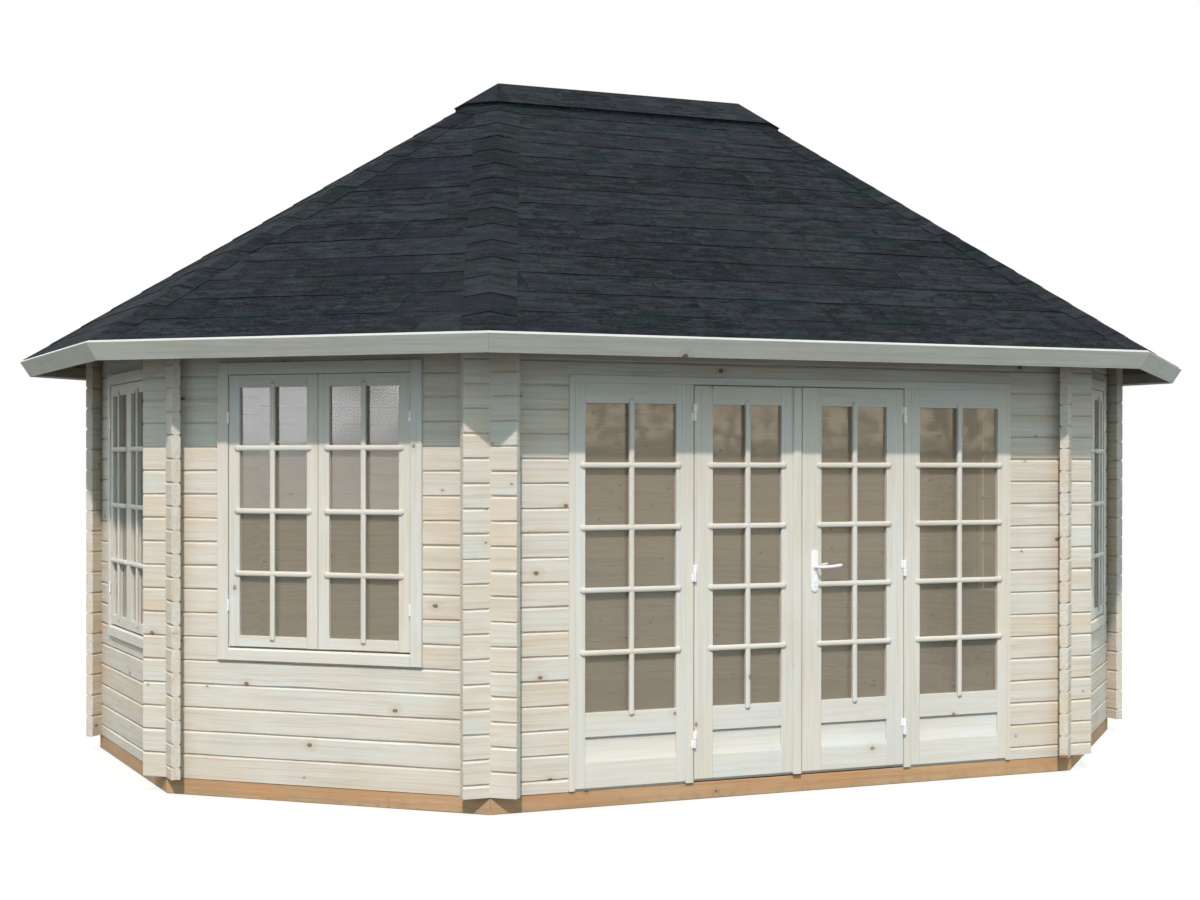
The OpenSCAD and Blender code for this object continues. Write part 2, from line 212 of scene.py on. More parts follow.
class Solid:
    """A closed mesh of rings of points, drawn on some part's own axes."""

    def __init__(self, verts: Sequence[Vector], faces: Sequence[tuple[int, ...]]) -> None:
        """Keeps the mesh with all its faces turned outwards.

        Args:
            verts: Corners.
            faces: Corner numbers of each face, turning one way round.
        """
        self.verts = [Vector(v) for v in verts]
        self.faces = [tuple(f) for f in faces]
        if self._volume() < 0:
            self.faces = [f[::-1] for f in self.faces]

    def _volume(self) -> float:
        """Six times the volume, below zero when the faces turn inwards."""
        total = 0.0
        for face in self.faces:
            first = self.verts[face[0]]
            for b, c in zip(face[1:-1], face[2:]):
                total += first.dot(self.verts[b].cross(self.verts[c]))
        return total

    @classmethod
    def loft(cls, rings: Sequence[Sequence[Vector]]) -> Solid:
        """Joins rings of equally many points and closes both ends.

        Args:
            rings: Rings in order along the solid.

        Returns:
            The closed solid.
        """
        n = len(rings[0])
        verts = [p for ring in rings for p in ring]
        faces: list[tuple[int, ...]] = [tuple(range(n)), tuple(range(len(verts) - 1, len(verts) - n - 1, -1))]
        for k in range(len(rings) - 1):
            a = k * n
            faces += [(a + (j + 1) % n, a + j, a + n + j, a + n + (j + 1) % n) for j in range(n)]
        return cls(verts, faces)

    @classmethod
    def run(cls, section: Sequence[Point2], span: Span, ease: float = 0.0,
            mitre: Point2 = (0.0, 0.0)) -> Solid:
        """Runs a closed [y, z] section along X.

        Args:
            section: Corners of the section.
            span: Start and end along X.
            ease: How far the end faces are rounded over.
            mitre: How far each end moves along X for each metre of y.

        Returns:
            The closed solid.
        """
        def ring(x: float, slant: float, inset: float) -> list[Vector]:
            """One station of the section, drawn in by an inset."""
            return [Vector((x + slant * y, y, z)) for y, z in drawn_in(section, inset)]

        rings = [ring(span[0], mitre[0], ease), ring(span[1], mitre[1], ease)]
        if ease:
            rings[1:1] = [ring(span[0] + ease, mitre[0], 0), ring(span[1] - ease, mitre[1], 0)]
        return cls.loft(rings)

    @classmethod
    def mitred(cls, section: Sequence[Point2], half: float) -> Solid:
        """Runs a [y, z] section along X between the octagon's mitres, half to either side."""
        return cls.run(section, (-half, half), mitre=(MITRE, -MITRE))

    @classmethod
    def bar(cls, x: Span, y: Span, z: Span, along: Along = Along.X, ease: float = 0.0015) -> Solid:
        """A board with its edges eased, on a wall's axes.

        Args:
            x: Start and end along X.
            y: Start and end along Y.
            z: Start and end along Z.
            along: The axis that the board runs along.
            ease: Width of the eased edges.

        Returns:
            The closed solid.
        """
        turn = along.turn
        lo = turn @ Vector((min(x), min(y), min(z)))
        hi = turn @ Vector((max(x), max(y), max(z)))
        ring = cls.run(eased((lo.y, hi.y), (lo.z, hi.z), ease), (lo.x, hi.x), ease)
        return cls([turn.transposed() @ v for v in ring.verts], ring.faces)

    @classmethod
    def prism(cls, outline: Sequence[Point2], low: float, high: float) -> Solid:
        """Raises an outline in X and Y between two heights."""
        return cls.loft([[Vector((x, y, z)) for x, y in outline] for z in (low, high)])

    @classmethod
    def turned(cls, profile: Sequence[Point2], at: Vector, steps: int = 20) -> Solid:
        """Turns a profile about a vertical axis.

        Args:
            profile: Radius and height of each ring.
            at: Foot of the axis.
            steps: Number of sides.

        Returns:
            The closed solid.
        """
        return cls.loft([[at + Vector((r * math.cos(a), r * math.sin(a), h)) for a in round_steps(steps)]
                         for r, h in profile])

    @classmethod
    def boss(cls, at: Vector, profile: Sequence[Point2], out: int, steps: int = 20) -> Solid:
        """Turns a profile about an axis that stands square out of a wall.

        Args:
            at: Foot of the axis.
            profile: Radius and height of each ring.
            out: -1 for a boss that faces out of the building, 1 for one that faces inwards.
            steps: Number of sides.

        Returns:
            The closed solid.
        """
        turns = [(math.cos(a), math.sin(a)) for a in round_steps(steps)]
        return cls.loft([[at + Vector((r * c, out * h, r * s)) for c, s in turns] for r, h in profile])

    @classmethod
    def swept(cls, path: Sequence[tuple[Vector, float, float]], steps: int = 20) -> Solid:
        """Sweeps an oval along a path that lies flat in Z.

        Args:
            path: Centre, half height and half width of each station.
            steps: Number of sides of the oval.

        Returns:
            The closed solid.
        """
        rings = []
        for k, (centre, tall, wide) in enumerate(path):
            ahead = (path[min(k + 1, len(path) - 1)][0] - path[max(k - 1, 0)][0]).normalized()
            side = ahead.cross(UP).normalized()
            up = side.cross(ahead).normalized()
            rings.append([centre + side * wide * math.cos(a) + up * tall * math.sin(a)
                          for a in round_steps(steps)])
        return cls.loft(rings)

    def cut(self, place: Matrix, planes: Iterable[tuple[Vector, Vector]]) -> Solid:
        """Cuts away what stands in front of some planes.

        Args:
            place: The matrix that puts this solid in the model.
            planes: A point on each plane and its direction, in the model.

        Returns:
            The closed solid that is left.
        """
        back = place.inverted()
        mesh = bmesh.new()
        corners = [mesh.verts.new(v) for v in self.verts]
        for face in self.faces:
            mesh.faces.new([corners[j] for j in face])
        for point, normal in planes:
            everything = mesh.verts[:] + mesh.edges[:] + mesh.faces[:]
            done = bmesh.ops.bisect_plane(
                mesh, geom=everything, plane_co=back @ point, plane_no=back.to_3x3() @ normal,
                dist=1e-6, clear_outer=True)
            rim = [e for e in done["geom_cut"] if isinstance(e, bmesh.types.BMEdge)]
            if rim:
                bmesh.ops.holes_fill(mesh, edges=rim, sides=0)
        mesh.verts.index_update()
        left = Solid([v.co.copy() for v in mesh.verts], [tuple(v.index for v in f.verts) for f in mesh.faces])
        mesh.free()
        return left


def round_steps(count: int) -> list[float]:
    """Equal steps round a circle, in radians."""
    return [2 * math.pi * j / count for j in range(count)]


def mirrored(flip: int, span: Span) -> Span:
    """A span of the right half, or its mirror image in the left half when flip is -1."""
    low, high = sorted((flip * span[0], flip * span[1]))
    return low, high


def oblong(x: Span, y: Span) -> list[Point2]:
    """The corners of a rectangle."""
    return [(x[0], y[0]), (x[1], y[0]), (x[1], y[1]), (x[0], y[1])]


def drawn_in(section: Sequence[Point2], inset: float) -> list[Point2]:
    """A section shrunk about its middle until it is an inset smaller on every side."""
    ys, zs = [p[0] for p in section], [p[1] for p in section]
    mid = ((min(ys) + max(ys)) / 2, (min(zs) + max(zs)) / 2)
    half = ((max(ys) - min(ys)) / 2, (max(zs) - min(zs)) / 2)
    k = [1 - inset / h for h in half]
    return [(mid[0] + (y - mid[0]) * k[0], mid[1] + (z - mid[1]) * k[1]) for y, z in section]


def eased(y: Span, z: Span, ease: float) -> list[Point2]:
    """A rectangular section with its four edges cut back.

    Args:
        y: Start and end along Y.
        z: Start and end along Z.
        ease: Width of the cut edges.

    Returns:
        The eight corners of the section.
    """
    (a, b), (c, d), e = y, z, ease
    return [(a + e, c), (b - e, c), (b, c + e), (b, d - e), (b - e, d), (a + e, d), (a, d - e), (a, c + e)]


def clipped(outline: Sequence[Point2], edges: Iterable[tuple[float, float, float]]) -> list[Point2]:
    """Keeps the part of a flat outline where a*x + b*y <= c for every edge.

    Args:
        outline: Corners of a convex outline.
        edges: The values a, b and c of each edge.

    Returns:
        The corners that are left, none if nothing is.
    """
    points = list(outline)
    for a, b, c in edges:
        kept: list[Point2] = []
        for p, q in zip(points, points[1:] + points[:1]):
            dp, dq = a * p[0] + b * p[1] - c, a * q[0] + b * q[1] - c
            if dp <= 0:
                kept.append(p)
            if (dp < 0 < dq) or (dq < 0 < dp):
                t = dp / (dp - dq)
                kept.append((p[0] + t * (q[0] - p[0]), p[1] + t * (q[1] - p[1])))
        points = kept
        if len(points) < 3:
            return []
    return points


@dataclass
class Piece:
    """One visible piece: solids with the figure that each of them shows."""

    name: str
    pith: Span = (0.03, 0.09)
    verts: list[Vector] = field(default_factory=list)
    faces: list[tuple[int, ...]] = field(default_factory=list)
    figure: list[Vector] = field(default_factory=list)
    tones: list[float] = field(default_factory=list)

    def __post_init__(self) -> None:
        """Gives the piece its own fixed row of random numbers."""
        self.rng = random.Random(self.name)

    def start_board(self) -> tuple[Vector, float]:
        """Picks where in the tree a board was cut, and its tone."""
        angle = self.rng.uniform(0, 2 * math.pi)
        far = self.rng.uniform(*self.pith)
        offset = Vector((self.rng.uniform(0, 60), far * math.cos(angle), far * math.sin(angle)))
        return offset, self.rng.random()

    def add(self, solid: Solid, place: Matrix, along: Along = Along.X,
            board: tuple[Vector, float] | None = None, turn: Matrix | None = None) -> None:
        """Adds a solid.

        Args:
            solid: The solid, on its own axes.
            place: The matrix that puts it in the model.
            along: The axis of the solid that its grain follows.
            board: The board that it is part of, a new one if left out.
            turn: A turn from the solid's axes to the grain's, in place of along.
        """
        offset, tone = board or self.start_board()
        grain = turn or along.turn
        middle = sum((grain @ v for v in solid.verts), Vector()) / len(solid.verts)
        middle.x = 0 if board else middle.x
        self.lay(solid, place, [grain @ v - middle + offset for v in solid.verts], tone)

    def lay(self, solid: Solid, place: Matrix, figure: Iterable[Vector], tone: float) -> None:
        """Adds a solid whose figure is already known.

        Args:
            solid: The solid, on its own axes.
            place: The matrix that puts it in the model.
            figure: Where each of its corners lies in the material.
            tone: Light or dark.
        """
        base = len(self.verts)
        self.verts += [place @ v for v in solid.verts]
        self.faces += [tuple(base + j for j in f) for f in solid.faces]
        self.figure += figure
        self.tones += [tone] * len(solid.verts)

    def felt_offset(self) -> Vector:
        """Picks where a tab was cut from its roll of felt."""
        return Vector((self.rng.uniform(0, 40), 0, 0))

    def build(self, material: bpy.types.Material, slot: str, body: str = BUILDING,
              stands_for: Sequence[str] = (), crease: float = 28) -> bpy.types.Object:
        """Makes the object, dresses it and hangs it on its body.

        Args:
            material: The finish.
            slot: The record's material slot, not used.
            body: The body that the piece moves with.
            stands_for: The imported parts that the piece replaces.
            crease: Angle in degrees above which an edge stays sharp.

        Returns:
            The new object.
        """
        mesh = bpy.data.meshes.new(self.name)
        mesh.from_pydata(self.verts, [], self.faces)
        figure = mesh.attributes.new("figure", "FLOAT_VECTOR", "POINT")
        figure.data.foreach_set("vector", [c for v in self.figure for c in v])
        tone = mesh.attributes.new("tone", "FLOAT", "POINT")
        tone.data.foreach_set("value", self.tones)
        mesh.polygons.foreach_set("use_smooth", [True] * len(mesh.polygons))
        mesh.set_sharp_from_angle(angle=math.radians(crease))
        mesh.materials.append(material)
        mesh.validate()
        made = bpy.data.objects.new(self.name, mesh)
        bpy.context.scene.collection.objects.link(made)
        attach(made, body)
        if stands_for:
            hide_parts(*stands_for)
        LOG.info("%s: %d faces on %s", self.name, len(mesh.polygons), body)
        return made


# ---------------------------------------------------------------- finishes


class Wiring:
    """Short calls that add and join shader nodes."""

    def __init__(self, tree: bpy.types.NodeTree) -> None:
        """Works in one node tree."""
        self.tree = tree

    def node(self, kind: str, **settings: object) -> bpy.types.Node:
        """Adds a node and sets its settings."""
        made = self.tree.nodes.new("ShaderNode" + kind)
        for name, value in settings.items():
            setattr(made, name, value)
        return made

    def feed(self, socket: bpy.types.NodeSocket, value: object) -> None:
        """Joins a socket to an input, or sets the input to a plain value."""
        if isinstance(value, bpy.types.NodeSocket):
            self.tree.links.new(value, socket)
        elif isinstance(value, tuple) and socket.type == "RGBA":
            socket.default_value = (*value[:3], 1.0)
        else:
            socket.default_value = value

    def math(self, op: str, a: object, b: object = 0.0, c: object = 0.0) -> bpy.types.NodeSocket:
        """One step of arithmetic."""
        made = self.node("Math", operation=op)
        for socket, value in zip(made.inputs, (a, b, c)):
            self.feed(socket, value)
        return made.outputs[0]

    def vector(self, op: str, a: object, b: object = (0.0, 0.0, 0.0)) -> bpy.types.NodeSocket:
        """One step of arithmetic on vectors."""
        made = self.node("VectorMath", operation=op)
        self.feed(made.inputs[0], a)
        self.feed(made.inputs[1], b)
        return made.outputs["Value" if op in ("LENGTH", "DOT_PRODUCT") else "Vector"]

    def mix(self, share: object, a: object, b: object, blend: str = "MIX") -> bpy.types.NodeSocket:
        """Mixes two colours."""
        made = self.node("Mix", data_type="RGBA", blend_type=blend)
        for index, value in ((0, share), (6, a), (7, b)):
            self.feed(made.inputs[index], value)
        return made.outputs[2]

    def either(self, share: object, a: object, b: object) -> bpy.types.NodeSocket:
        """Mixes two shaders."""
        made = self.node("MixShader")
        for socket, value in zip(made.inputs, (share, a, b)):
            self.feed(socket, value)
        return made.outputs[0]

    def fit(self, value: object, low: float, high: float, to_low: float = 0.0,
            to_high: float = 1.0) -> bpy.types.NodeSocket:
        """Brings a value smoothly from one range to another."""
        made = self.node("MapRange", interpolation_type="SMOOTHSTEP")
        for index, item in enumerate((value, low, high, to_low, to_high)):
            self.feed(made.inputs[index], item)
        return made.outputs[0]

    def axes(self, at: object) -> Sequence[bpy.types.NodeSocket]:
        """The X, Y and Z of a vector, or the red, green and blue of a colour."""
        made = self.node("SeparateXYZ")
        self.feed(made.inputs[0], at)
        return made.outputs

    def noise(self, at: object, scale: float | tuple[float, float, float], detail: float = 2.0,
              rough: float = 0.5) -> bpy.types.Node:
        """Noise at a position, with its value first and its colour second.

        Args:
            at: The position.
            scale: How fine it is, in all directions or along each axis.
            detail: Number of finer layers.
            rough: How strong they are.

        Returns:
            The noise node.
        """
        made = self.node("TexNoise")
        if isinstance(scale, tuple):
            at, scale = self.vector("MULTIPLY", at, scale), 1.0
        self.feed(made.inputs["Vector"], at)
        made.inputs["Scale"].default_value = scale
        made.inputs["Detail"].default_value = detail
        made.inputs["Roughness"].default_value = rough
        return made

    def cells(self, at: object, scale: float, **settings: object) -> bpy.types.Node:
        """Cells of a Voronoi pattern, each with its own colour and the distance from its middle."""
        made = self.node("TexVoronoi", feature="F1", **settings)
        self.feed(made.inputs["Vector"], at)
        made.inputs["Scale"].default_value = scale
        return made

    def bump(self, height: object, strength: float, distance: float) -> bpy.types.NodeSocket:
        """A normal from a height."""
        made = self.node("Bump")
        made.inputs["Strength"].default_value = strength
        made.inputs["Distance"].default_value = distance
        self.feed(made.inputs["Height"], height)
        return made.outputs[0]

    def attribute(self, name: str, output: str) -> bpy.types.NodeSocket:
        """A value that the mesh carries."""
        return self.node("Attribute", attribute_name=name).outputs[output]


def new_group(name: str, inputs: Sequence[tuple[str, str, object]], outputs: Sequence[tuple[str, str]],
              ) -> tuple[bpy.types.NodeTree, Wiring, bpy.types.Node, bpy.types.Node]:
    """Starts a shader node group with named sockets.

    Args:
        name: The group's name.
        inputs: Name, kind and default of each input.
        outputs: Name and kind of each output.

    Returns:
        The group, its wiring, and its input and output nodes.
    """
    tree = bpy.data.node_groups.new(name, "ShaderNodeTree")
    for label, kind, default in inputs:
        socket = tree.interface.new_socket(name=label, in_out="INPUT", socket_type="NodeSocket" + kind)
        if default is not None:
            socket.default_value = (*default, 1.0) if kind == "Color" else default
    for label, kind in outputs:
        tree.interface.new_socket(name=label, in_out="OUTPUT", socket_type="NodeSocket" + kind)
    return tree, Wiring(tree), tree.nodes.new("NodeGroupInput"), tree.nodes.new("NodeGroupOutput")


def spruce_figure() -> bpy.types.NodeTree:
    """Makes the group that draws growth rings, streaks and knots in a board.

    Returns:
        A group from a place in the board, its tone and its colours to colour, height and polish.
    """
    tree, w, given, out = new_group(
        "spruce_figure",
        [("Place", "Vector", None), ("Tone", "Float", 0.5), ("Pale", "Color", (0.8, 0.7, 0.5)),
         ("Warm", "Color", (0.7, 0.6, 0.4)), ("Cool", "Color", (0.7, 0.7, 0.6)),
         ("Late", "Color", (0.6, 0.4, 0.2)), ("Knot", "Color", (0.3, 0.2, 0.1)),
         ("Ring Strength", "Float", 0.3), ("Knot Share", "Float", 0.4)],
        [("Color", "Color"), ("Height", "Float"), ("Polish", "Float")])
    place = given.outputs["Place"]
    wander = w.noise(place, (1.1, 6.0, 6.0))
    shifted = w.vector("SUBTRACT", wander.outputs[1], (0.5, 0.5, 0.5))
    bent = w.vector("ADD", place, w.vector("MULTIPLY", shifted, (0.0, 0.05, 0.05)))

    # knots run square through the board, one or two in each stretch of a log
    flat, spot = w.axes(place), w.node("CombineXYZ")
    w.feed(spot.inputs[0], w.math("MULTIPLY", flat[0], 3.1))
    w.feed(spot.inputs[1], w.math("MULTIPLY", flat[2], 4.4))
    ragged = w.noise(place, (60.0, 60.0, 60.0), 1.0)
    nudge = w.vector("MULTIPLY", w.vector("SUBTRACT", ragged.outputs[1], (0.5, 0.5, 0.5)), (0.02, 0.02, 0.0))
    cells = w.cells(w.vector("ADD", spot.outputs[0], nudge), 1.0, voronoi_dimensions="2D")
    lot = w.axes(cells.outputs["Color"])
    there = w.math("LESS_THAN", lot[0], given.outputs["Knot Share"])
    radius = w.fit(lot[1], 0.0, 1.0, 0.017, 0.045)
    spread = w.math("DIVIDE", cells.outputs["Distance"], radius)
    knot = w.math("MULTIPLY", w.fit(spread, 1.15, 0.75), there)
    halo = w.math("MULTIPLY", w.fit(spread, 4.5, 1.0), there)

    # growth rings round the pith, bent round the knots
    across = w.vector("MULTIPLY", bent, (0.0, 1.0, 1.0))
    distance = w.math("ADD", w.vector("LENGTH", across), w.math("MULTIPLY", halo, 0.006))
    cycle = w.math("FRACT", w.math("MULTIPLY", distance, 150.0))
    ring = w.math("MULTIPLY", w.math("POWER", cycle, 2.5), w.fit(cycle, 1.0, 0.9))
    streaks = w.noise(bent, (1.4, 60.0, 60.0), 3.0, 0.6)
    broad = w.noise(bent, (2.2, 11.0, 11.0), 3.0, 0.55)
    patchy = w.fit(broad.outputs[0], 0.3, 0.7, 0.35, 1.0)
    strength = w.math("MULTIPLY", w.math("MULTIPLY", ring, patchy), given.outputs["Ring Strength"])

    tone = given.outputs["Tone"]
    calm = w.math("ADD", w.math("MULTIPLY", tone, 0.55), 0.225)
    cast = w.math("ADD", calm, w.math("MULTIPLY", w.math("SUBTRACT", broad.outputs[0], 0.5), 2.0))
    colour = w.mix(w.fit(cast, 0.45, 1.0), given.outputs["Pale"], given.outputs["Warm"])
    colour = w.mix(w.fit(cast, 0.38, 0.02), colour, given.outputs["Cool"])
    colour = w.mix(w.fit(streaks.outputs[0], 0.40, 0.72, 0.0, 0.42), colour, given.outputs["Late"])
    colour = w.mix(strength, colour, given.outputs["Late"])
    colour = w.mix(w.math("MULTIPLY", halo, 0.35), colour, given.outputs["Late"])
    core = w.fit(w.math("ABSOLUTE", w.math("SUBTRACT", spread, 0.85)), 0.0, 0.25, 0.55, 1.0)
    dark = w.mix(core, (0.085, 0.05, 0.03), given.outputs["Knot"])
    colour = w.mix(knot, colour, dark)
    fibre = w.noise(bent, (20.0, 420.0, 420.0))
    height = w.math("ADD", w.math("MULTIPLY", ring, 0.5), w.math("MULTIPLY", fibre.outputs[0], 0.6))
    height = w.math("ADD", height, w.math("MULTIPLY", knot, 0.8))
    w.feed(out.inputs["Color"], colour)
    w.feed(out.inputs["Height"], height)
    w.feed(out.inputs["Polish"], w.fit(streaks.outputs[0], 0.3, 0.8, 0.12, -0.06))
    return tree


def weather() -> bpy.types.NodeTree:
    """Makes the group of uneven dirt that settles over a whole surface.

    Returns:
        A group from a place and a scale to a mask.
    """
    tree, w, given, out = new_group(
        "weather", [("Place", "Vector", None), ("Scale", "Float", 1.0)], [("Mask", "Float")])
    at = w.vector("MULTIPLY", given.outputs["Place"], (1.0, 1.0, 0.6))
    cloud = w.noise(at, 1.0, 4.0, 0.6)
    w.feed(cloud.inputs["Scale"], given.outputs["Scale"])
    w.feed(out.inputs["Mask"], w.fit(cloud.outputs[0], 0.42, 0.72))
    return tree


class Finish:
    """What every finish starts from: a material with a Principled shader and its wiring."""

    groups: dict[str, bpy.types.NodeTree] = {}

    def __init__(self, name: str) -> None:
        """Starts an empty material of that name."""
        self.material = bpy.data.materials.new(name)
        self.material.use_nodes = True
        self.w = Wiring(self.material.node_tree)
        self.shader = self.material.node_tree.nodes["Principled BSDF"]
        self.out = self.material.node_tree.nodes["Material Output"]
        self.spot = self.w.node("TexCoord").outputs["Object"]

    def group(self, tree: bpy.types.NodeTree, **values: object) -> bpy.types.Node:
        """Places a shared group with its own values."""
        made = self.w.node("Group", node_tree=tree)
        for label, value in values.items():
            self.w.feed(made.inputs[label.replace("_", " ")], value)
        return made

    def weather(self, scale: float) -> bpy.types.NodeSocket:
        """The mask of dirt, at a scale."""
        return self.group(Finish.groups["weather"], Place=self.spot, Scale=scale).outputs["Mask"]

    def dress(self, **values: object) -> bpy.types.Material:
        """Feeds the shader's sockets and gives back the material."""
        for label, value in values.items():
            self.w.feed(self.shader.inputs[label.replace("_", " ")], value)
        return self.material

    @classmethod
    def shared(cls) -> None:
        """Builds the groups that more than one finish uses."""
        cls.groups = {"spruce": spruce_figure(), "weather": weather()}


@dataclass(frozen=True)
class Timber:
    """One kind of spruce and how it is finished."""

    name: str
    pale: Colour
    warm: Colour
    cool: Colour
    late: Colour
    knot: Colour = (0.27, 0.175, 0.105)
    rings: float = 0.30
    knots: float = 0.45
    roughness: float = 0.62
    relief: float = 0.0007
    soil: Colour = (0.35, 0.27, 0.17)
    soiling: float = 0.12
    # share of soil laid on faces that look up: dust lying on them, and painted shade that dims their
    # highlight
    settled: float = 0.0

    def material(self, carried: bool = True) -> bpy.types.Material:
        """Makes the material.

        Args:
            carried: Whether the mesh carries its figure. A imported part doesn't, and takes it from its
                place in the model.

        Returns:
            The material.
        """
        made = Finish(self.name)
        w, spot = made.w, made.spot
        if carried:
            place, tone = w.attribute("figure", "Vector"), w.attribute("tone", "Fac")
        else:
            place = w.vector("ADD", w.vector("MULTIPLY", spot, (1.0, 0.2, 1.0)), (3.0, 0.05, 0.04))
            tone = 0.5
        figure = made.group(Finish.groups["spruce"], Place=place, Tone=tone, Pale=self.pale, Warm=self.warm,
                            Cool=self.cool, Late=self.late, Knot=self.knot, Ring_Strength=self.rings,
                            Knot_Share=self.knots)
        uneven = w.fit(made.weather(26.0), 0.0, 1.0, 0.25, 0.8)
        splash = w.math("MULTIPLY", w.fit(w.axes(spot)[2], 0.09, -0.01), uneven)
        share = w.math("ADD", w.math("MULTIPLY", made.weather(2.3), self.soiling), splash)
        # painted shade and dust: faces that look up get more soil, which darkens their lit tops
        if self.settled:
            facing = w.axes(w.node("TexCoord").outputs["Normal"])
            share = w.math("ADD", share, w.fit(facing[2], 0.4, 0.8, 0.0, self.settled))
        return made.dress(
            Base_Color=w.mix(share, figure.outputs["Color"], self.soil),
            Roughness=w.math("ADD", figure.outputs["Polish"], self.roughness),
            Normal=w.bump(figure.outputs["Height"], 0.6, self.relief),
            Specular_IOR_Level=0.05)


@dataclass(frozen=True)
class Shingles:
    """Mineral felt shingles with a granule face."""

    name: str = "charcoal_shingles"
    light: Colour = (0.025, 0.030, 0.034)
    dark: Colour = (0.0038, 0.0054, 0.0075)
    violet: Colour = (0.0125, 0.0130, 0.0210)
    green: Colour = (0.0068, 0.0160, 0.0150)
    pale_grit: Colour = (0.075, 0.085, 0.09)
    dirt: Colour = (0.026, 0.031, 0.030)
    exposure: float = 0.195

    def material(self) -> bpy.types.Material:
        """Makes the material."""
        made = Finish(self.name)
        w = made.w
        place, tone = w.attribute("figure", "Vector"), w.attribute("tone", "Fac")
        mottle = w.noise(place, (6.0, 22.0, 20.0), 4.0, 0.65).outputs[0]
        coarse = w.noise(place, (34.0, 110.0, 90.0), 3.0, 0.7).outputs[0]
        shade = w.math("ADD", w.math("MULTIPLY", tone, 0.42), w.math("MULTIPLY", mottle, 0.58))
        shade = w.math("ADD", shade, w.math("MULTIPLY", w.math("SUBTRACT", mottle, 0.5), 1.7))
        shade = w.math("ADD", shade, w.math("MULTIPLY", w.math("SUBTRACT", coarse, 0.5), 1.5))
        colour = w.mix(w.fit(shade, 0.16, 0.90), self.dark, self.light)

        # broad drifts of violet and green granules
        patch = w.noise(made.spot, (2.4, 2.4, 11.0), 3.0, 0.6).outputs[0]
        colour = w.mix(w.fit(patch, 0.50, 0.62, 0.0, 0.65), colour, self.violet)
        colour = w.mix(w.fit(patch, 0.46, 0.36, 0.0, 0.60), colour, self.green)

        # a broken shadow line halfway up each course, then single pale granules and dirt
        band = w.math("ABSOLUTE", w.math("SUBTRACT", w.axes(place)[1], self.exposure * 0.5))
        broken = w.math("MULTIPLY", w.fit(band, 0.0065, 0.001), w.fit(mottle, 0.35, 0.6, 0.15, 0.75))
        colour = w.mix(broken, colour, self.dark)
        grit = w.cells(place, 420.0)
        speck = w.axes(grit.outputs["Color"])
        colour = w.mix(w.fit(speck[0], 0.82, 1.0, 0.0, 0.45), colour, self.pale_grit)
        colour = w.mix(w.math("MULTIPLY", made.weather(0.9), 0.22), colour, self.dirt)
        height = w.math("SUBTRACT", w.math("MULTIPLY", coarse, 1.5), grit.outputs["Distance"])
        return made.dress(
            Base_Color=colour,
            Roughness=w.fit(speck[1], 0.0, 1.0, 0.80, 0.97),
            Normal=w.bump(height, 0.8, 0.0016),
            Specular_IOR_Level=0.02)


@dataclass(frozen=True)
class WhiteMetal:
    """White powder coated ironmongery, a little rubbed in patches."""

    name: str = "white_powder_coat"
    coat: Colour = (0.86, 0.86, 0.85)
    rubbed: Colour = (0.66, 0.66, 0.65)

    def material(self) -> bpy.types.Material:
        """Makes the material."""
        made = Finish(self.name)
        w, dirt = made.w, made.weather(55.0)
        return made.dress(
            Base_Color=w.mix(w.math("MULTIPLY", dirt, 0.35), self.coat, self.rubbed),
            Roughness=w.fit(dirt, 0.0, 1.0, 0.26, 0.42),
            Normal=w.bump(w.noise(made.spot, 900.0, 1.0).outputs[0], 0.25, 0.0002))


@dataclass(frozen=True)
class Glass:
    """Clear float glass with a little dust in patches."""

    name: str = "float_glass"
    clear: Colour = (0.995, 0.868, 0.69)
    dusty: Colour = (0.94, 0.815, 0.64)
    unlit: Colour = (0.98, 0.98, 0.97)

    def material(self) -> bpy.types.Material:
        """Makes the material, clear to the rays that lamps throw."""
        made = Finish(self.name)
        w, dust = made.w, made.weather(5.0)
        made.dress(
            Base_Color=w.mix(w.math("MULTIPLY", dust, 0.4), self.clear, self.dusty),
            Roughness=w.fit(dust, 0.0, 1.0, 0.0, 0.03),
            Normal=w.bump(w.noise(made.spot, 2.2, 1.0).outputs[0], 0.25, 0.003),
            Transmission_Weight=0.90,
            IOR=1.45)
        through = w.node("BsdfTransparent")
        w.feed(through.inputs["Color"], self.unlit)
        rays, surface = w.node("LightPath"), made.shader.outputs[0]
        for kind in ("Is Diffuse Ray", "Is Shadow Ray"):
            surface = w.either(rays.outputs[kind], surface, through.outputs[0])
        w.feed(made.out.inputs["Surface"], surface)
        return made.material


# ---------------------------------------------------------------- foundation and floor


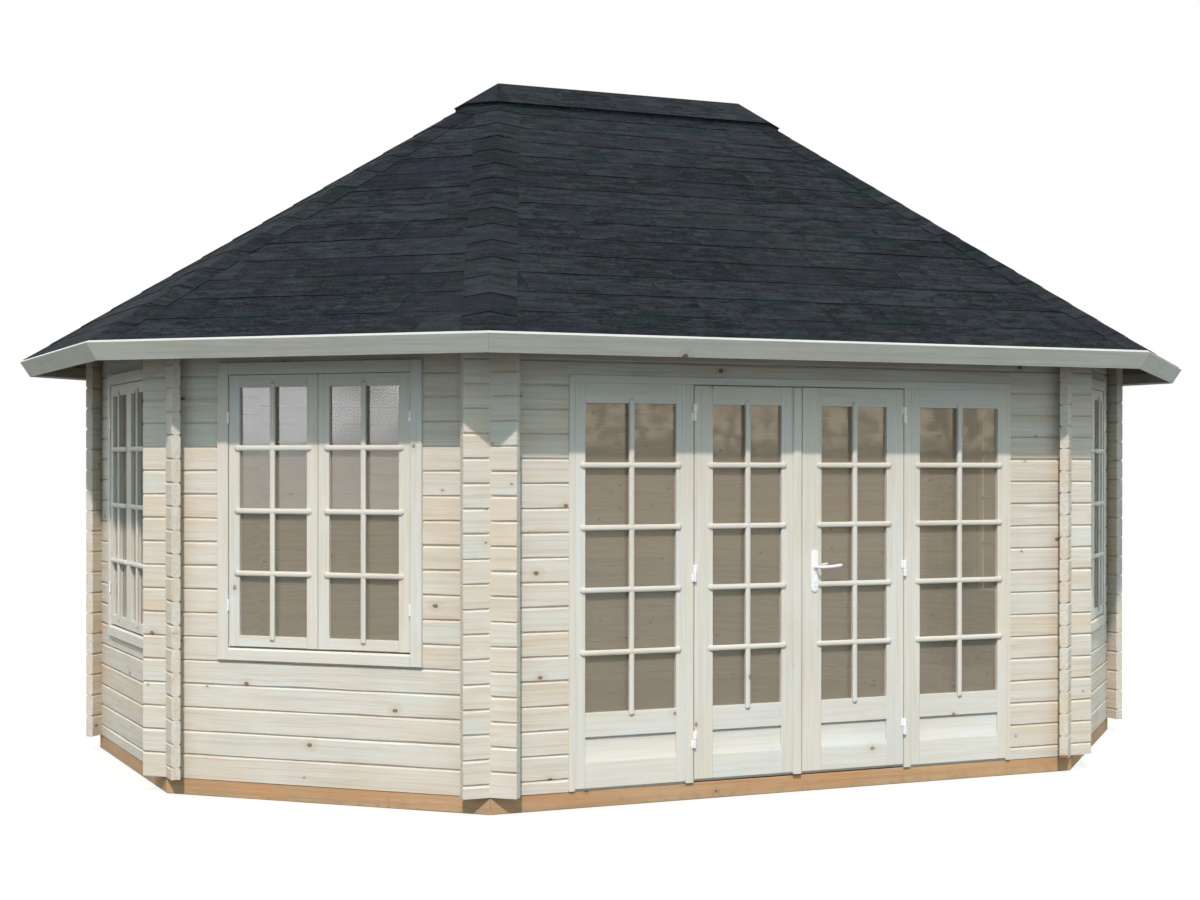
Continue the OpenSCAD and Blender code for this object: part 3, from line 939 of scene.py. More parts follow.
@dataclass
class Base:
    """Foundation beams, joists and floor boards."""

    timber: bpy.types.Material
    bare: bpy.types.Material
    planed: bpy.types.Material
    beam_w: float = 0.074
    inset: float = 0.004
    floor_t: float = 0.019
    floor_gap: float = 0.006
    board_w: float = 0.096
    board_gap: float = 0.0012

    def build(self) -> None:
        """Builds the beams and the floor and dresses the joists."""
        self.beams()
        self.floor()
        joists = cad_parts["floor_joists"]
        joists.data.materials.clear()
        joists.data.materials.append(self.bare)

    def beams(self) -> None:
        """Mitred beams under the walls."""
        piece = Piece("foundation_timbers")
        section = eased((self.inset, self.inset + self.beam_w), (0, PLAN.beam_h), 0.003)
        for side in Side:
            piece.add(Solid.mitred(section, PLAN.length(side) / 2 - 0.001), PLAN.wall(side))
        piece.build(self.timber, "foundation_timber", stands_for=["foundation_beams"])

    def floor(self) -> None:
        """Floor boards along the building, cut to the octagon."""
        piece = Piece("floor_planks")
        reach = PLAN.apothem - PLAN.wall_t - self.floor_gap
        long, diagonal = reach + PLAN.stretch / 2, math.sqrt(0.5)
        edges = [(0, 1, reach), (0, -1, reach), (1, 0, long), (-1, 0, long)]
        edges += [(sx * diagonal, sy * diagonal, reach + diagonal * PLAN.stretch / 2)
                  for sx in (-1, 1) for sy in (-1, 1)]
        for row in range(math.ceil(2 * reach / self.board_w)):
            low = -reach + row * self.board_w
            joint = piece.rng.uniform(-1.6, 1.6)
            for x in ((-3.5, joint), (joint + self.board_gap, 3.5)):
                kept = clipped(oblong(x, (low, low + self.board_w - self.board_gap)), edges)
                if kept:
                    piece.add(Solid.prism(kept, PLAN.beam_h + FIT, PLAN.beam_h + self.floor_t), Matrix())
        piece.build(self.planed, "floor", stands_for=["floor_boards"])


# ---------------------------------------------------------------- log walls


@dataclass
class Opening:
    """A hole in a log wall, in the wall's own X and Z."""

    x: Span
    z: Span


@dataclass
class LogWalls:
    """Walls of notched logs with V joints, laid one by one."""

    timber: bpy.types.Material
    log_h: float = 0.114
    arm: float = 0.130
    vee_h: float = 0.0088
    vee_d: float = 0.0066
    seam: float = 0.0014
    tongue: float = 0.012
    end_ease: float = 0.0022
    waver: float = 0.17
    worn: Span = (0.72, 1.22)

    def build(self, openings: dict[Side, Opening]) -> None:
        """Builds all eight walls.

        Args:
            openings: The hole in each wall that has one.
        """
        for side in Side:
            names = [f"{side.label}_wall"]
            if side is Side.FRONT:
                names = ["front_wall_left", "front_wall_right", "front_wall_header"]
            piece = Piece(f"{side.label}_logs", pith=(0.02, 0.07))
            for low, high in self.courses(side):
                self.log(piece, side, low, high, openings.get(side))
            piece.build(self.timber, "log", stands_for=names)
        self.plates()

    def courses(self, side: Side) -> list[Span]:
        """Bottom and top of each log of a wall; every second wall starts with half a log."""
        first = PLAN.beam_h + (self.log_h / 2 if side % 2 == 0 else self.log_h)
        joints = [PLAN.beam_h]
        while first < PLAN.wall_top - 0.001:
            joints.append(first)
            first += self.log_h
        return list(zip(joints, joints[1:] + [PLAN.wall_top]))

    def section(self, low: float, high: float, joints: tuple[bool, bool], proud: float,
                worn: float = 1.0) -> list[Point2]:
        """Section of a log.

        Args:
            low: Its bottom.
            high: Its top.
            joints: Whether there is a V joint at the bottom and at the top.
            proud: How far its faces stand off the wall's.
            worn: How wide its V joints are, as a share of their usual width.

        Returns:
            The section's corners as [y, z].
        """
        g, d, t, s = self.vee_h * worn, self.vee_d * worn, PLAN.wall_t - proud, self.seam
        lower = [(t, low), (proud, low)]
        if joints[0]:
            lower = [(t, low + g), (t - d, low + s), (t - self.tongue, low + s), (t - self.tongue, low),
                     (self.tongue, low), (self.tongue, low + s), (proud + d, low + s), (proud, low + g)]
        upper = [(proud, high), (t, high)]
        if joints[1]:
            upper = [(proud, high - g), (proud + d, high), (t - d, high), (t, high - g)]
        return lower + upper

    def log(self, piece: Piece, side: Side, low: float, high: float, hole: Opening | None) -> None:
        """Lays one log, in up to four lengths round an opening.

        Args:
            piece: The wall's piece.
            side: The wall.
            low: The log's bottom.
            high: The log's top.
            hole: The wall's opening.
        """
        place = PLAN.wall(side)
        board = piece.start_board()
        proud = piece.rng.uniform(0.0, 0.0008)
        reach = PLAN.length(side) / 2 + self.arm
        joints = (low > PLAN.beam_h + 0.001, high < PLAN.wall_top - 0.001)
        lengths: list[tuple[Span, Span, tuple[bool, bool]]] = [((-reach, reach), (low, high), joints)]
        if hole and hole.z[0] < high and hole.z[1] > low:
            lengths = [((-reach, hole.x[0]), (low, high), joints), ((hole.x[1], reach), (low, high), joints)]
            if low < hole.z[0] - 0.004:
                lengths.append((hole.x, (low, hole.z[0]), (joints[0], False)))
            if high > hole.z[1] + 0.004:
                lengths.append((hole.x, (hole.z[1], high), (False, joints[1])))
        for span, (a, b), kept in lengths:
            solid = self.length_of_log(
                piece.rng, lambda worn: self.section(a, b, kept, proud, worn), span, reach)
            if b > PLAN.wall_top - 2 * self.log_h:
                solid = solid.cut(place, self.roof_cuts(side))
            piece.add(solid, place, board=board)

    def length_of_log(self, rng: random.Random, section: Callable[[float], list[Point2]], span: Span,
                      reach: float) -> Solid:
        """A length of log whose V joints waver and whose free ends are eased.

        Args:
            rng: The wall's row of random numbers.
            section: The log's section for a width of its V joints.
            span: Start and end of the length.
            reach: Where the whole log ends on either side.

        Returns:
            The closed solid.
        """
        ease, count = self.end_ease, max(2, round((span[1] - span[0]) / self.waver) + 1)
        between = [span[0] + (span[1] - span[0]) * k / (count - 1) for k in range(1, count - 1)]
        stations = [(x, 0.0) for x in between]
        stations[:0] = [(span[0], ease), (span[0] + ease, 0.0)] if span[0] <= -reach else [(span[0], 0.0)]
        stations += [(span[1] - ease, 0.0), (span[1], ease)] if span[1] >= reach else [(span[1], 0.0)]
        return Solid.loft([[Vector((x, y, z)) for y, z in drawn_in(section(rng.uniform(*self.worn)), inset)]
                           for x, inset in stations])

    def roof_cuts(self, side: Side) -> list[tuple[Vector, Vector]]:
        """The undersides of the roof planes over a wall and its two neighbours."""
        cuts = []
        for near in (side, (side + 1) % 8, (side + 7) % 8):
            slope = PLAN.slope(near)
            cuts.append((slope @ Vector((0, 0, -PLAN.roof_t - 0.0003)), slope.to_3x3() @ UP))
        return cuts

    def plates(self) -> None:
        """Bevelled timbers between the wall tops and the roof boards."""
        piece = Piece("bevelled_wall_plates")
        low, top, t = PLAN.wall_top + FIT, PLAN.under_z - FIT, PLAN.wall_t
        section = [(0, low), (t, low), (t, top + t * PLAN.rise), (0, top)]
        for side in Side:
            piece.add(Solid.mitred(section, PLAN.length(side) / 2 - 0.001), PLAN.wall(side))
        piece.build(self.timber, "log", stands_for=["wall_plates"])


# ---------------------------------------------------------------- roof


@dataclass
class Roof:
    """Rafters, roof boards, fascia, shingles and the ridge cap."""

    bare: bpy.types.Material
    painted: bpy.types.Material
    covering: bpy.types.Material
    board_w: float = 0.096
    board_t: float = 0.0148
    vee: float = 0.004
    fascia_t: float = 0.019
    fascia_h: float = 0.100
    rafter_w: float = 0.045
    rafter_h: float = 0.095
    exposure: float = Shingles.exposure
    tab_w: float = 0.333
    tab_t: float = 0.0028
    fall: float = 0.0150
    head_lap: float = 0.055
    cap_run: float = 0.230
    cap_edge: float = 0.006
    cap_h: float = 0.024
    hip_w: float = 0.125

    @property
    def felt(self) -> float:
        """Height of the roof boards' upper face, square to the slope."""
        return self.board_t - PLAN.roof_t

    def build(self) -> None:
        """Builds the whole roof."""
        self.rafters()
        for side in Side:
            self.boards(side)
            self.shingles(side)
        self.hips()
        self.fascia()
        self.cap()

    def hip_edges(self, side: Side, inset: float) -> list[tuple[float, float, float]]:
        """The two edges that bound a roof plane at its hips, drawn in by an inset."""
        half = PLAN.half_at(side, 0) - inset
        return [(1, PLAN.lean, half), (-1, PLAN.lean, half)]

    def boards(self, side: Side) -> None:
        """Roof boards along the eave, with V joints underneath."""
        piece = Piece(f"{side.label}_roof_boards")
        place, half = PLAN.slope(side), PLAN.half_at(side, 0) - 0.0006
        low, high, v = -PLAN.roof_t, self.felt, self.vee
        top = PLAN.slope_len() - 0.002
        at = self.fascia_t + FIT
        while at < top - 0.01:
            end = min(at + self.board_w, top)
            if half - PLAN.lean * end < 0.004:
                break
            section = [(at, low + v), (at + v, low), (end - v, low), (end, low + v), (end, high), (at, high)]
            piece.add(Solid.run(section, (-half, half), mitre=(PLAN.lean, -PLAN.lean)), place)
            at = end + 0.0006
        piece.build(self.bare, "roof_timber", stands_for=[f"{side.label}_roof_panel"])

    def tab(self, piece: Piece, outline: Sequence[Point2], butt: float, lift: float, place: Matrix,
            tone: float) -> None:
        """Lays one shingle tab.

        Args:
            piece: The roof plane's piece.
            outline: The tab's outline on the slope.
            butt: Where its lower edge lies up the slope.
            lift: Height of its underside at the lower edge.
            place: The roof plane's matrix.
            tone: Light or dark.
        """
        def layer(rise: float) -> list[Vector]:
            """The outline laid on the tilted tab."""
            return [Vector((x, y, lift + rise - self.fall * (y - butt))) for x, y in outline]

        solid, offset = Solid.loft([layer(0), layer(self.tab_t)]), piece.felt_offset()
        piece.lay(solid, place, [Vector((v.x, v.y - butt, v.z)) + offset for v in solid.verts], tone)

    def shingles(self, side: Side) -> None:
        """Courses of tabs up one roof plane."""
        piece = Piece(f"{side.label}_shingles")
        place = PLAN.slope(side)
        edges = self.hip_edges(side, 0.002)
        top = (PLAN.reach - self.cap_run + 0.06) / math.cos(PLAN.pitch)
        edges.append((0, 1, top))
        butt, row = self.fascia_t + 0.0004, 0
        while butt < top:
            start = -PLAN.half_at(side, 0) - self.tab_w * (1 + (row % 2) / 2)
            start += piece.rng.uniform(-0.03, 0.03)
            head = butt + self.exposure + self.head_lap
            strip, count = piece.rng.random(), 0
            while start < PLAN.half_at(side, butt):
                if count % 3 == 0:
                    strip = piece.rng.random()
                slot = 0.0006 if count % 3 == 2 else 0.0011
                dip = piece.rng.uniform(-0.002, 0.002) if row else 0
                kept = clipped(oblong((start, start + self.tab_w - slot), (butt + dip, head)), edges)
                if kept:
                    lift = -self.tab_t + (piece.rng.uniform(-0.0018, 0.0004) if row else 0)
                    self.tab(piece, kept, butt, lift, place, 0.55 * strip + 0.45 * piece.rng.random())
                start += self.tab_w
                count += 1
            butt += self.exposure
            row += 1
        piece.build(self.covering, "shingle", stands_for=[f"{side.label}_roof_panel"])

    def hips(self) -> None:
        """Bent tabs that cover the hips."""
        piece = Piece("hip_shingles")
        head_run = self.cap_run - 0.04
        for k in range(8):
            foot = PLAN.corner(k, PLAN.reach, PLAN.eave_z)
            line = PLAN.corner(k, head_run, PLAN.ridge_z - head_run * PLAN.rise) - foot
            length, along = line.length, line.normalized()
            planes = [PLAN.slope(side).to_3x3() for side in ((k + 7) % 8, k)]
            normals = [plane @ UP for plane in planes]
            outs = [-normals[0].cross(along).normalized(), normals[1].cross(along).normalized()]
            if outs[0].dot(planes[0] @ Vector((1, 0, 0))) > 0:
                outs = [-outs[0], -outs[1]]
            at = 0.012
            while at < length - 0.02:
                end = min(at + self.exposure + 0.075, length)
                self.hip_tab(piece, foot, along, (at, end), outs, normals)
                at += self.exposure
        piece.build(self.covering, "shingle")

    def hip_tab(self, piece: Piece, foot: Vector, along: Vector, span: Span, outs: Sequence[Vector],
                normals: Sequence[Vector]) -> None:
        """Bends one tab over a hip.

        Args:
            piece: The piece of hip tabs.
            foot: The hip's corner at the eave.
            along: Direction up the hip.
            span: Start and end of the tab along the hip.
            outs: Directions down each plane from the hip.
            normals: Directions out of each plane.
        """
        tone = piece.rng.random()
        crown = (normals[0] + normals[1]).normalized()
        first = (self.fascia_t + 0.0006) * math.hypot(1, PLAN.lean)
        widths = (self.hip_w, 0.02, 0.0, 0.02, self.hip_w)
        sides = (outs[0], outs[0], outs[0], outs[1], outs[1])
        lifts = (normals[0], normals[0], crown, normals[1], normals[1])
        thick = (0.0014, 0.0022, 0.0022, 0.0022, 0.0014)
        rings = []
        for at, lift in ((span[0], 0.0006), (span[1], -0.0044)):
            lower = [foot + along * max(at, first + PLAN.lean * wide) + out * wide
                     + normal * (lift if wide else lift - 0.0008)
                     for out, normal, wide in zip(sides, lifts, widths)]
            rings.append(lower + [p + n * t for p, n, t in zip(lower[::-1], lifts[::-1], thick)])
        offset = piece.felt_offset()
        across = (-self.hip_w, -0.02, 0, 0.02, self.hip_w)
        rows = [Vector((x, y, 0)) + offset for y in (0.0, span[1] - span[0]) for x in across + across[::-1]]
        piece.lay(Solid.loft(rings), Matrix(), rows, tone)

    def fascia(self) -> None:
        """Mitred boards square to the slope on the ends of the roof boards."""
        piece = Piece("fascia_planks")
        tilt, section = Matrix.Rotation(PLAN.pitch, 4, "X"), []
        for y, z in eased((0, self.fascia_t), (-self.fascia_h, 0), 0.002):
            p = tilt @ Vector((0, y, z))
            section.append((p.y - PLAN.overhang, p.z + PLAN.eave_z))
        for side in Side:
            piece.add(Solid.mitred(section, PLAN.length(side) / 2 - 0.0003), PLAN.wall(side))
        piece.build(self.painted, "fascia", stands_for=["fascia_boards"])

    def rafters(self) -> None:
        """Hip rafters between the wall corners and the two hubs of the ridge beam."""
        piece = Piece("rafters_and_ridge")
        ridge = PLAN.under_z + PLAN.apothem * PLAN.rise
        half_w = self.rafter_w / 2
        hub = half_w / MITRE + 0.001
        steep = PLAN.rise * math.cos(HALF_TURN)
        drop = half_w * PLAN.rise * math.sin(HALF_TURN) + FIT
        deep = self.rafter_h / math.cos(math.atan(steep))
        foot = (PLAN.apothem - PLAN.wall_t) / math.cos(HALF_TURN) - half_w * MITRE - FIT
        box = eased((-half_w, half_w), (-deep, 0), 0.002)
        rafter = Solid.loft([[Vector((r, y, z - r * steep)) for y, z in box] for r in (hub + FIT, foot)])
        grain = Matrix.Rotation(math.atan(steep), 3, "Y").inverted()
        for k in range(8):
            place = Matrix.Translation((PLAN.hub_x(k), 0, ridge - drop))
            piece.add(rafter, place @ Matrix.Rotation(PLAN.bearing(k), 4, "Z"), turn=grain)
        top = ridge - half_w * PLAN.rise - FIT
        half = PLAN.stretch / 2
        beam = Solid.bar((-half, half), (-half_w, half_w), (top - self.rafter_h, top), ease=0.002)
        piece.add(beam, Matrix())
        corner = hub / math.cos(HALF_TURN)
        top = ridge - corner * PLAN.rise - FIT
        outline = [(corner * math.cos(a), corner * math.sin(a)) for a in round_steps(8)]
        for end in (-half, half):
            post = Solid.prism(outline, top - self.rafter_h - hub, top)
            piece.add(post, Matrix.Translation((end, 0, 0)), Along.Z)
        piece.build(self.bare, "roof_timber", stands_for=["hip_rafters", "ridge_beam"])

    def cap(self) -> None:
        """A low hipped cover over the ridge, felted like the roof."""
        piece = Piece("ridge_cover")
        peak, edge, core = PLAN.ridge_z + 0.0004, self.cap_run - self.cap_edge, self.cap_h - self.cap_edge
        rim = peak - edge * PLAN.rise
        for k in range(8):
            n = (k + 1) % 8
            heads = [PLAN.hub_x(k)] if k % 4 else [PLAN.hub_x(n), -PLAN.hub_x(n)]
            ring = [PLAN.corner(i, edge, rim) for i in (k, n)] + [Vector((x, 0, peak)) for x in heads]
            slab = Solid.loft([[p + Vector((0, 0, h)) for p in ring] for h in (0.0, core)])
            offset = piece.felt_offset() + Vector((0, 0.06, 0))
            piece.lay(slab, Matrix(), [Vector((v.x, 0, v.z)) + offset for v in slab.verts], 0.35)
            self.cap_tabs(piece, k, core)
        piece.build(self.covering, "shingle", stands_for=["ridge_cap"])

    def cap_tabs(self, piece: Piece, side: int, core: float) -> None:
        """Covers one facet of the cap with a course of tabs."""
        place = Matrix.Translation((0, 0, core + 0.0004)) @ PLAN.slope(side)
        low, high = (PLAN.reach - self.cap_run) / math.cos(PLAN.pitch), PLAN.slope_len()
        edges = self.hip_edges(side, 0.0008)
        start = -PLAN.half_at(side, low) - self.tab_w * piece.rng.random()
        while start < PLAN.half_at(side, low):
            kept = clipped(oblong((start, start + self.tab_w - 0.0015), (low, high)), edges)
            if kept:
                solid, offset = Solid.prism(kept, 0.0, 0.0045), piece.felt_offset()
                figure = [Vector((v.x, v.y - low, v.z)) + offset for v in solid.verts]
                piece.lay(solid, place, figure, piece.rng.random())
            start += self.tab_w


# ---------------------------------------------------------------- glazed frames


@dataclass
class GlazingBars:
    """Rounded bars laid over the glass, whose slanted ends lap onto the frame."""

    width: float = 0.026
    proud: float = 0.012
    lap: float = 0.027
    slant: float = 0.013

    def section(self, wide: float, deep: float) -> list[Point2]:
        """Half round section as [outwards, across]."""
        half, shoulder = wide / 2, deep * 0.45
        crown = [(deep * (0.45 + 0.55 * math.sin(a)), -half * math.cos(a))
                 for a in (math.pi * k / 8 for k in range(1, 8))]
        return [(0.0, -half), (shoulder, -half), *crown, (shoulder, half), (0.0, half)]

    def bar(self, centre: float, span: Span, face: float, along: Along, proud: float) -> Solid:
        """One bar on a wall's axes.

        Args:
            centre: Its middle across its length.
            span: Start and end of its full part.
            face: Y of the frame's outer face.
            along: The axis that it runs along.
            proud: How far it stands out.

        Returns:
            The closed solid.
        """
        rings = []
        stations = [(span[0], 0.12, 0.55), (span[0] + self.slant, 1.0, 1.0),
                    (span[1] - self.slant, 1.0, 1.0), (span[1], 0.12, 0.55)]
        for at, deep, wide in stations:
            ring = []
            for out, across in self.section(self.width, 1.0):
                y = face - out * proud * deep
                p = (at, y, centre + across * wide) if along is Along.X else (centre + across * wide, y, at)
                ring.append(Vector(p))
            rings.append(ring)
        return Solid.loft(rings)

    def backing(self, centre: float, span: Span, y: Span, along: Along) -> Solid:
        """The part of a bar that fills the opening between the frame's face and the glass."""
        across = (centre - self.width * 0.32, centre + self.width * 0.32)
        if along is Along.X:
            return Solid.bar(span, y, across, along, 0.001)
        return Solid.bar(across, y, span, along, 0.001)

    def grid(self, piece: Piece, place: Matrix, x: Span, z: Span, heights: Sequence[float], face: float,
             glass: float) -> None:
        """Lays the bars over one pane.

        Args:
            piece: The piece that they belong to.
            place: The wall's matrix.
            x: Edges of the pane along X.
            z: Edges of the pane along Z.
            heights: Middles of the level bars.
            face: Y of the frame's outer face.
            glass: Y of the glass.
        """
        middle = (x[0] + x[1]) / 2
        upright, level = (z[0] - self.lap, z[1] + self.lap), (x[0] - self.lap, x[1] + self.lap)
        piece.add(self.bar(middle, upright, face, Along.Z, self.proud - 0.001), place, Along.Z)
        piece.add(self.backing(middle, z, (face + FIT, glass - 0.0004), Along.Z), place, Along.Z)
        for height in heights:
            piece.add(self.bar(height, level, face, Along.X, self.proud), place, Along.X)
            piece.add(self.backing(height, x, (face + FIT, glass - 0.0008), Along.X), place, Along.X)


@dataclass(frozen=True)
class Rebate:
    """How stiles and rails hold their glass: a lip before it and a rebate with splayed beads behind."""

    wide: float = 0.014
    ease: float = 0.0016
    slack: float = 0.0002
    glass_t: float = 0.004
    lap: float = 0.0078

    def section(self, outer: float, sight: float, y: Span, lip: float) -> tuple[list[Point2], list[Point2]]:
        """The two layers of a stile or rail, as [across, y].

        Args:
            outer: Its outer edge.
            sight: Its edge at the glass.
            y: Front and back faces.
            lip: Y of the glass's face.

        Returns:
            The front layer and the back layer.
        """
        s, e = math.copysign(1, sight - outer), self.ease
        foot = sight - s * self.wide
        front = [(outer, lip), (outer, y[0] + e), (outer + s * e, y[0]),
                 (sight - s * e, y[0]), (sight, y[0] + e), (sight, lip)]
        back = [(outer, lip), (foot, lip), (foot, y[1] - e),
                (foot - s * e, y[1]), (outer + s * e, y[1]), (outer, y[1] - e)]
        return front, back

    def stile(self, outer: float, sight: float, y: Span, lip: float, z: Span) -> Solid:
        """An upright with its rebate, in one piece."""
        front, back = self.section(outer, sight, y, lip)
        return Solid.prism(front[1:] + back[1:], *z)

    def rail(self, outer: float, sight: float, y: Span, lip: float, x: Span) -> list[Solid]:
        """A level member, whose back layer reaches into the stiles' rebates."""
        front, back = self.section(outer, sight, y, lip)
        short, long = (x[0] + FIT, x[1] - FIT), (x[0] - self.wide + FIT, x[1] + self.wide - FIT)
        return [Solid.run([(depth, across) for across, depth in layer], span)
                for layer, span in ((front, short), (back, long))]

    def beads(self, x: Span, z: Span, y: float) -> list[tuple[Solid, Along]]:
        """Four mitred beads behind a pane whose outer face is at y."""
        w, corners = self.wide - 2 * self.slack, ((0, 0), (1, 0), (1, 1), (0, 1))
        rings = []
        for i, j in corners:
            inner = Vector((x[i], y + self.glass_t + self.slack, z[j]))
            outer = inner + Vector(((2 * i - 1) * w, 0, (2 * j - 1) * w))
            rings.append([inner, outer, outer + Vector((0, w, 0))])
        return [(Solid.loft([rings[k], rings[(k + 1) % 4]]), Along.Z if k % 2 else Along.X) for k in range(4)]


    def pane(self, x: Span, z: Span, y: float) -> Solid:
        """A sheet of glass with ground edges, whose outer face is at y and which laps into the rebates."""
        wide, high = (x[0] - self.lap, x[1] + self.lap), (z[0] - self.lap, z[1] + self.lap)
        return Solid.bar(wide, (y, y + self.glass_t), high, Along.Z, 0.0006)


BARS = GlazingBars()
REBATE = Rebate()


@dataclass
class Leaf:
    """A glazed door leaf or sidelight: stiles, rails, a fielded bottom panel and bars."""

    x: Span
    z: Span
    glass_x: Span
    glass_z: Span = (0.441, 1.881)
    face: float = -0.008
    thick: float = 0.040
    groove_z: float = 0.328
    field_z: Span = (0.212, 0.240)
    sunk: float = 0.012
    drip: float = 0.010
    glass_in: float = 0.018
    first_bar: float = 1.592
    bar_pitch: float = 0.291

    def build(self, piece: Piece, mirror: bool) -> None:
        """Adds the leaf's woodwork to a piece.

        Args:
            piece: The piece.
            mirror: Whether the leaf stands left of the middle.
        """
        place = PLAN.wall(Side.FRONT)
        flip = -1 if mirror else 1
        front, back = self.face, self.face + self.thick
        glass, sight = front + self.glass_in, mirrored(flip, self.glass_x)
        lip = glass - REBATE.slack
        drip = [(place @ Vector((0, front + self.drip, self.z[0])),
                 place.to_3x3() @ Vector((0, -1, -0.8)).normalized())]
        for outer, edge in zip(self.x, self.glass_x):
            stile = REBATE.stile(outer * flip, edge * flip, (front, back), lip, self.z)
            piece.add(stile.cut(place, drip), place, Along.Z)
        for outer, edge in ((self.z[1], self.glass_z[1]), (self.groove_z, self.glass_z[0])):
            board = piece.start_board()
            for layer in REBATE.rail(outer, edge, (front, back), lip, sight):
                piece.add(layer, place, board=board)
        board = piece.start_board()
        wide = REBATE.wide - FIT
        behind = oblong((lip, back - 0.001), (self.z[0], self.groove_z - 0.0004))
        panel = Solid.run(self.panel(front, lip), (sight[0] + FIT, sight[1] - FIT))
        piece.add(panel.cut(place, drip), place, board=board)
        piece.add(Solid.run(behind, (sight[0] - wide, sight[1] + wide)), place, board=board)
        for bead, along in REBATE.beads(sight, self.glass_z, glass):
            piece.add(bead, place, along)
        heights = [self.first_bar - self.bar_pitch * k for k in range(4)]
        BARS.grid(piece, place, sight, self.glass_z, heights, front, glass)

    def panel(self, front: float, back: float) -> list[Point2]:
        """Section of the bottom panel: a sunk margin, a slope and a flush field."""
        foot, head = self.z[0], self.groove_z - 0.0004
        lip, groove, sunk = head - 0.005, front + 0.017, front + self.sunk
        return [(front + 0.001, foot), (back, foot), (back, head), (groove, head), (groove, lip),
                (sunk, lip - 0.004), (sunk, self.field_z[1]), (front + 0.0006, self.field_z[0]),
                (front + FIT, self.field_z[0] - 0.004), (front + FIT, foot + 0.002)]


@dataclass
class DoorSet:
    """The frame, two sidelights, two leaves and their ironmongery."""

    timber: bpy.types.Material
    glass: bpy.types.Material
    metal: bpy.types.Material
    stop: Span = (0.037, 0.0436)
    half: float = 0.591
    set_half: float = 1.235
    jamb_w: float = 0.028
    mullion_w: float = 0.040
    head_z: float = 1.975
    head_h: float = 0.036
    leaf: Leaf = field(default_factory=lambda: Leaf((0.004, 0.586), (0.087, 1.970), (0.112, 0.488)))
    light: Leaf = field(default_factory=lambda: Leaf((0.6312, 1.2068), (0.0802, 1.9748), (0.6832, 1.1548)))
    strip: Span = (0.004, 0.050)
    strip_t: float = 0.009
    axis: Point2 = (0.5885, -0.0162)
    barrel_r: float = 0.008
    barrel_h: float = 0.041
    strap_w: float = 0.0165
    hinge_zs: tuple[float, float, float] = (0.245, 1.036, 1.801)
    screw: tuple[Point2, ...] = ((0.0034, -0.0004), (0.0034, 0.0004), (0.0026, 0.0010), (0.0010, 0.0012))
    lever_x: float = 0.072
    lever_z: float = 1.095
    plate: Point2 = (0.038, 0.206)
    plate_z: float = 1.074
    plate_t: float = 0.008
    lever_out: float = 0.048

    @property
    def place(self) -> Matrix:
        """The front wall's matrix."""
        return PLAN.wall(Side.FRONT)

    @property
    def faces(self) -> Span:
        """Y of the leaves' outer and inner faces."""
        return self.leaf.face, self.leaf.face + self.leaf.thick

    def build(self) -> None:
        """Builds the door set."""
        self.surround()
        lights = Piece("sidelight_frames")
        for mirror in (True, False):
            self.light.build(lights, mirror)
        lights.build(self.timber, "joinery", stands_for=["sidelights"])
        self.leaves()
        self.panes()
        self.hinges()
        self.handle()

    def surround(self) -> None:
        """Posts, head and threshold."""
        posts, head, sill = Piece("door_frame_posts"), Piece("door_frame_head"), Piece("door_sill")
        low, high = PLAN.beam_h + FIT, self.head_z - FIT
        deep, stop = (self.faces[0], PLAN.wall_t), self.stop
        jamb, mullion = (self.set_half - self.jamb_w, self.set_half), (self.half, self.half + self.mullion_w)
        for flip in (-1, 1):
            for x in (jamb, mullion):
                post = Solid.bar(mirrored(flip, x), deep, (low, high), Along.Z, 0.002)
                posts.add(post, self.place, Along.Z)
            lip = mirrored(flip, (self.half - 0.012, self.half + 0.001))
            posts.add(Solid.bar(lip, stop, (low, high), Along.Z, 0.001), self.place, Along.Z)
        reach, lip_x = self.set_half, self.half - 0.0124
        for x, y, z, ease in ((reach, deep, (self.head_z, self.head_z + self.head_h), 0.002),
                              (lip_x, stop, (self.head_z - 0.012, self.head_z + 0.001), 0.001)):
            head.add(Solid.bar((-x, x), y, z, ease=ease), self.place)
        edge, floor_z, front = PLAN.wall_t + 0.0058, PLAN.beam_h + 0.0192, self.stop[0]
        section = [(front, low), (edge, low), (edge, floor_z), (edge + 0.030, floor_z),
                   (edge + 0.030, floor_z + 0.005), (edge + 0.0285, floor_z + 0.007),
                   (edge + 0.024, floor_z + 0.009), (front + 0.002, floor_z + 0.009),
                   (front, floor_z + 0.007)]
        sill.add(Solid.run(section, (-lip_x, lip_x)), self.place)
        posts.build(self.timber, "joinery", stands_for=["door_posts"])
        head.build(self.timber, "joinery", stands_for=["door_head"])
        sill.build(self.timber, "joinery", stands_for=["door_threshold"])

    def leaves(self) -> None:
        """The two leaves, the left one with its cover strip."""
        for name, mirror in (("left_door", True), ("right_door", False)):
            piece = Piece(f"{name}_woodwork")
            self.leaf.build(piece, mirror)
            if mirror:
                depth = (self.faces[0] - self.strip_t, self.faces[0] + 0.0001)
                strip = Solid.bar(mirrored(-1, self.strip), depth, self.leaf.z, Along.Z, 0.003)
                piece.add(strip, self.place, Along.Z)
            piece.build(self.timber, "joinery", name, [f"{name}_leaf"])

    def panes(self) -> None:
        """Glass of the sidelights and of both leaves."""
        jobs = [("sidelight_panes", BUILDING, self.light, (-1, 1), "sidelight_glass"),
                ("left_door_pane", "left_door", self.leaf, (-1,), "left_door_glass"),
                ("right_door_pane", "right_door", self.leaf, (1,), "right_door_glass")]
        for name, body, leaf, flips, node in jobs:
            piece = Piece(name)
            for flip in flips:
                sheet = REBATE.pane(mirrored(flip, leaf.glass_x), leaf.glass_z, leaf.face + leaf.glass_in)
                piece.add(sheet, self.place, Along.Z)
            piece.build(self.glass, "glass", body, [node])

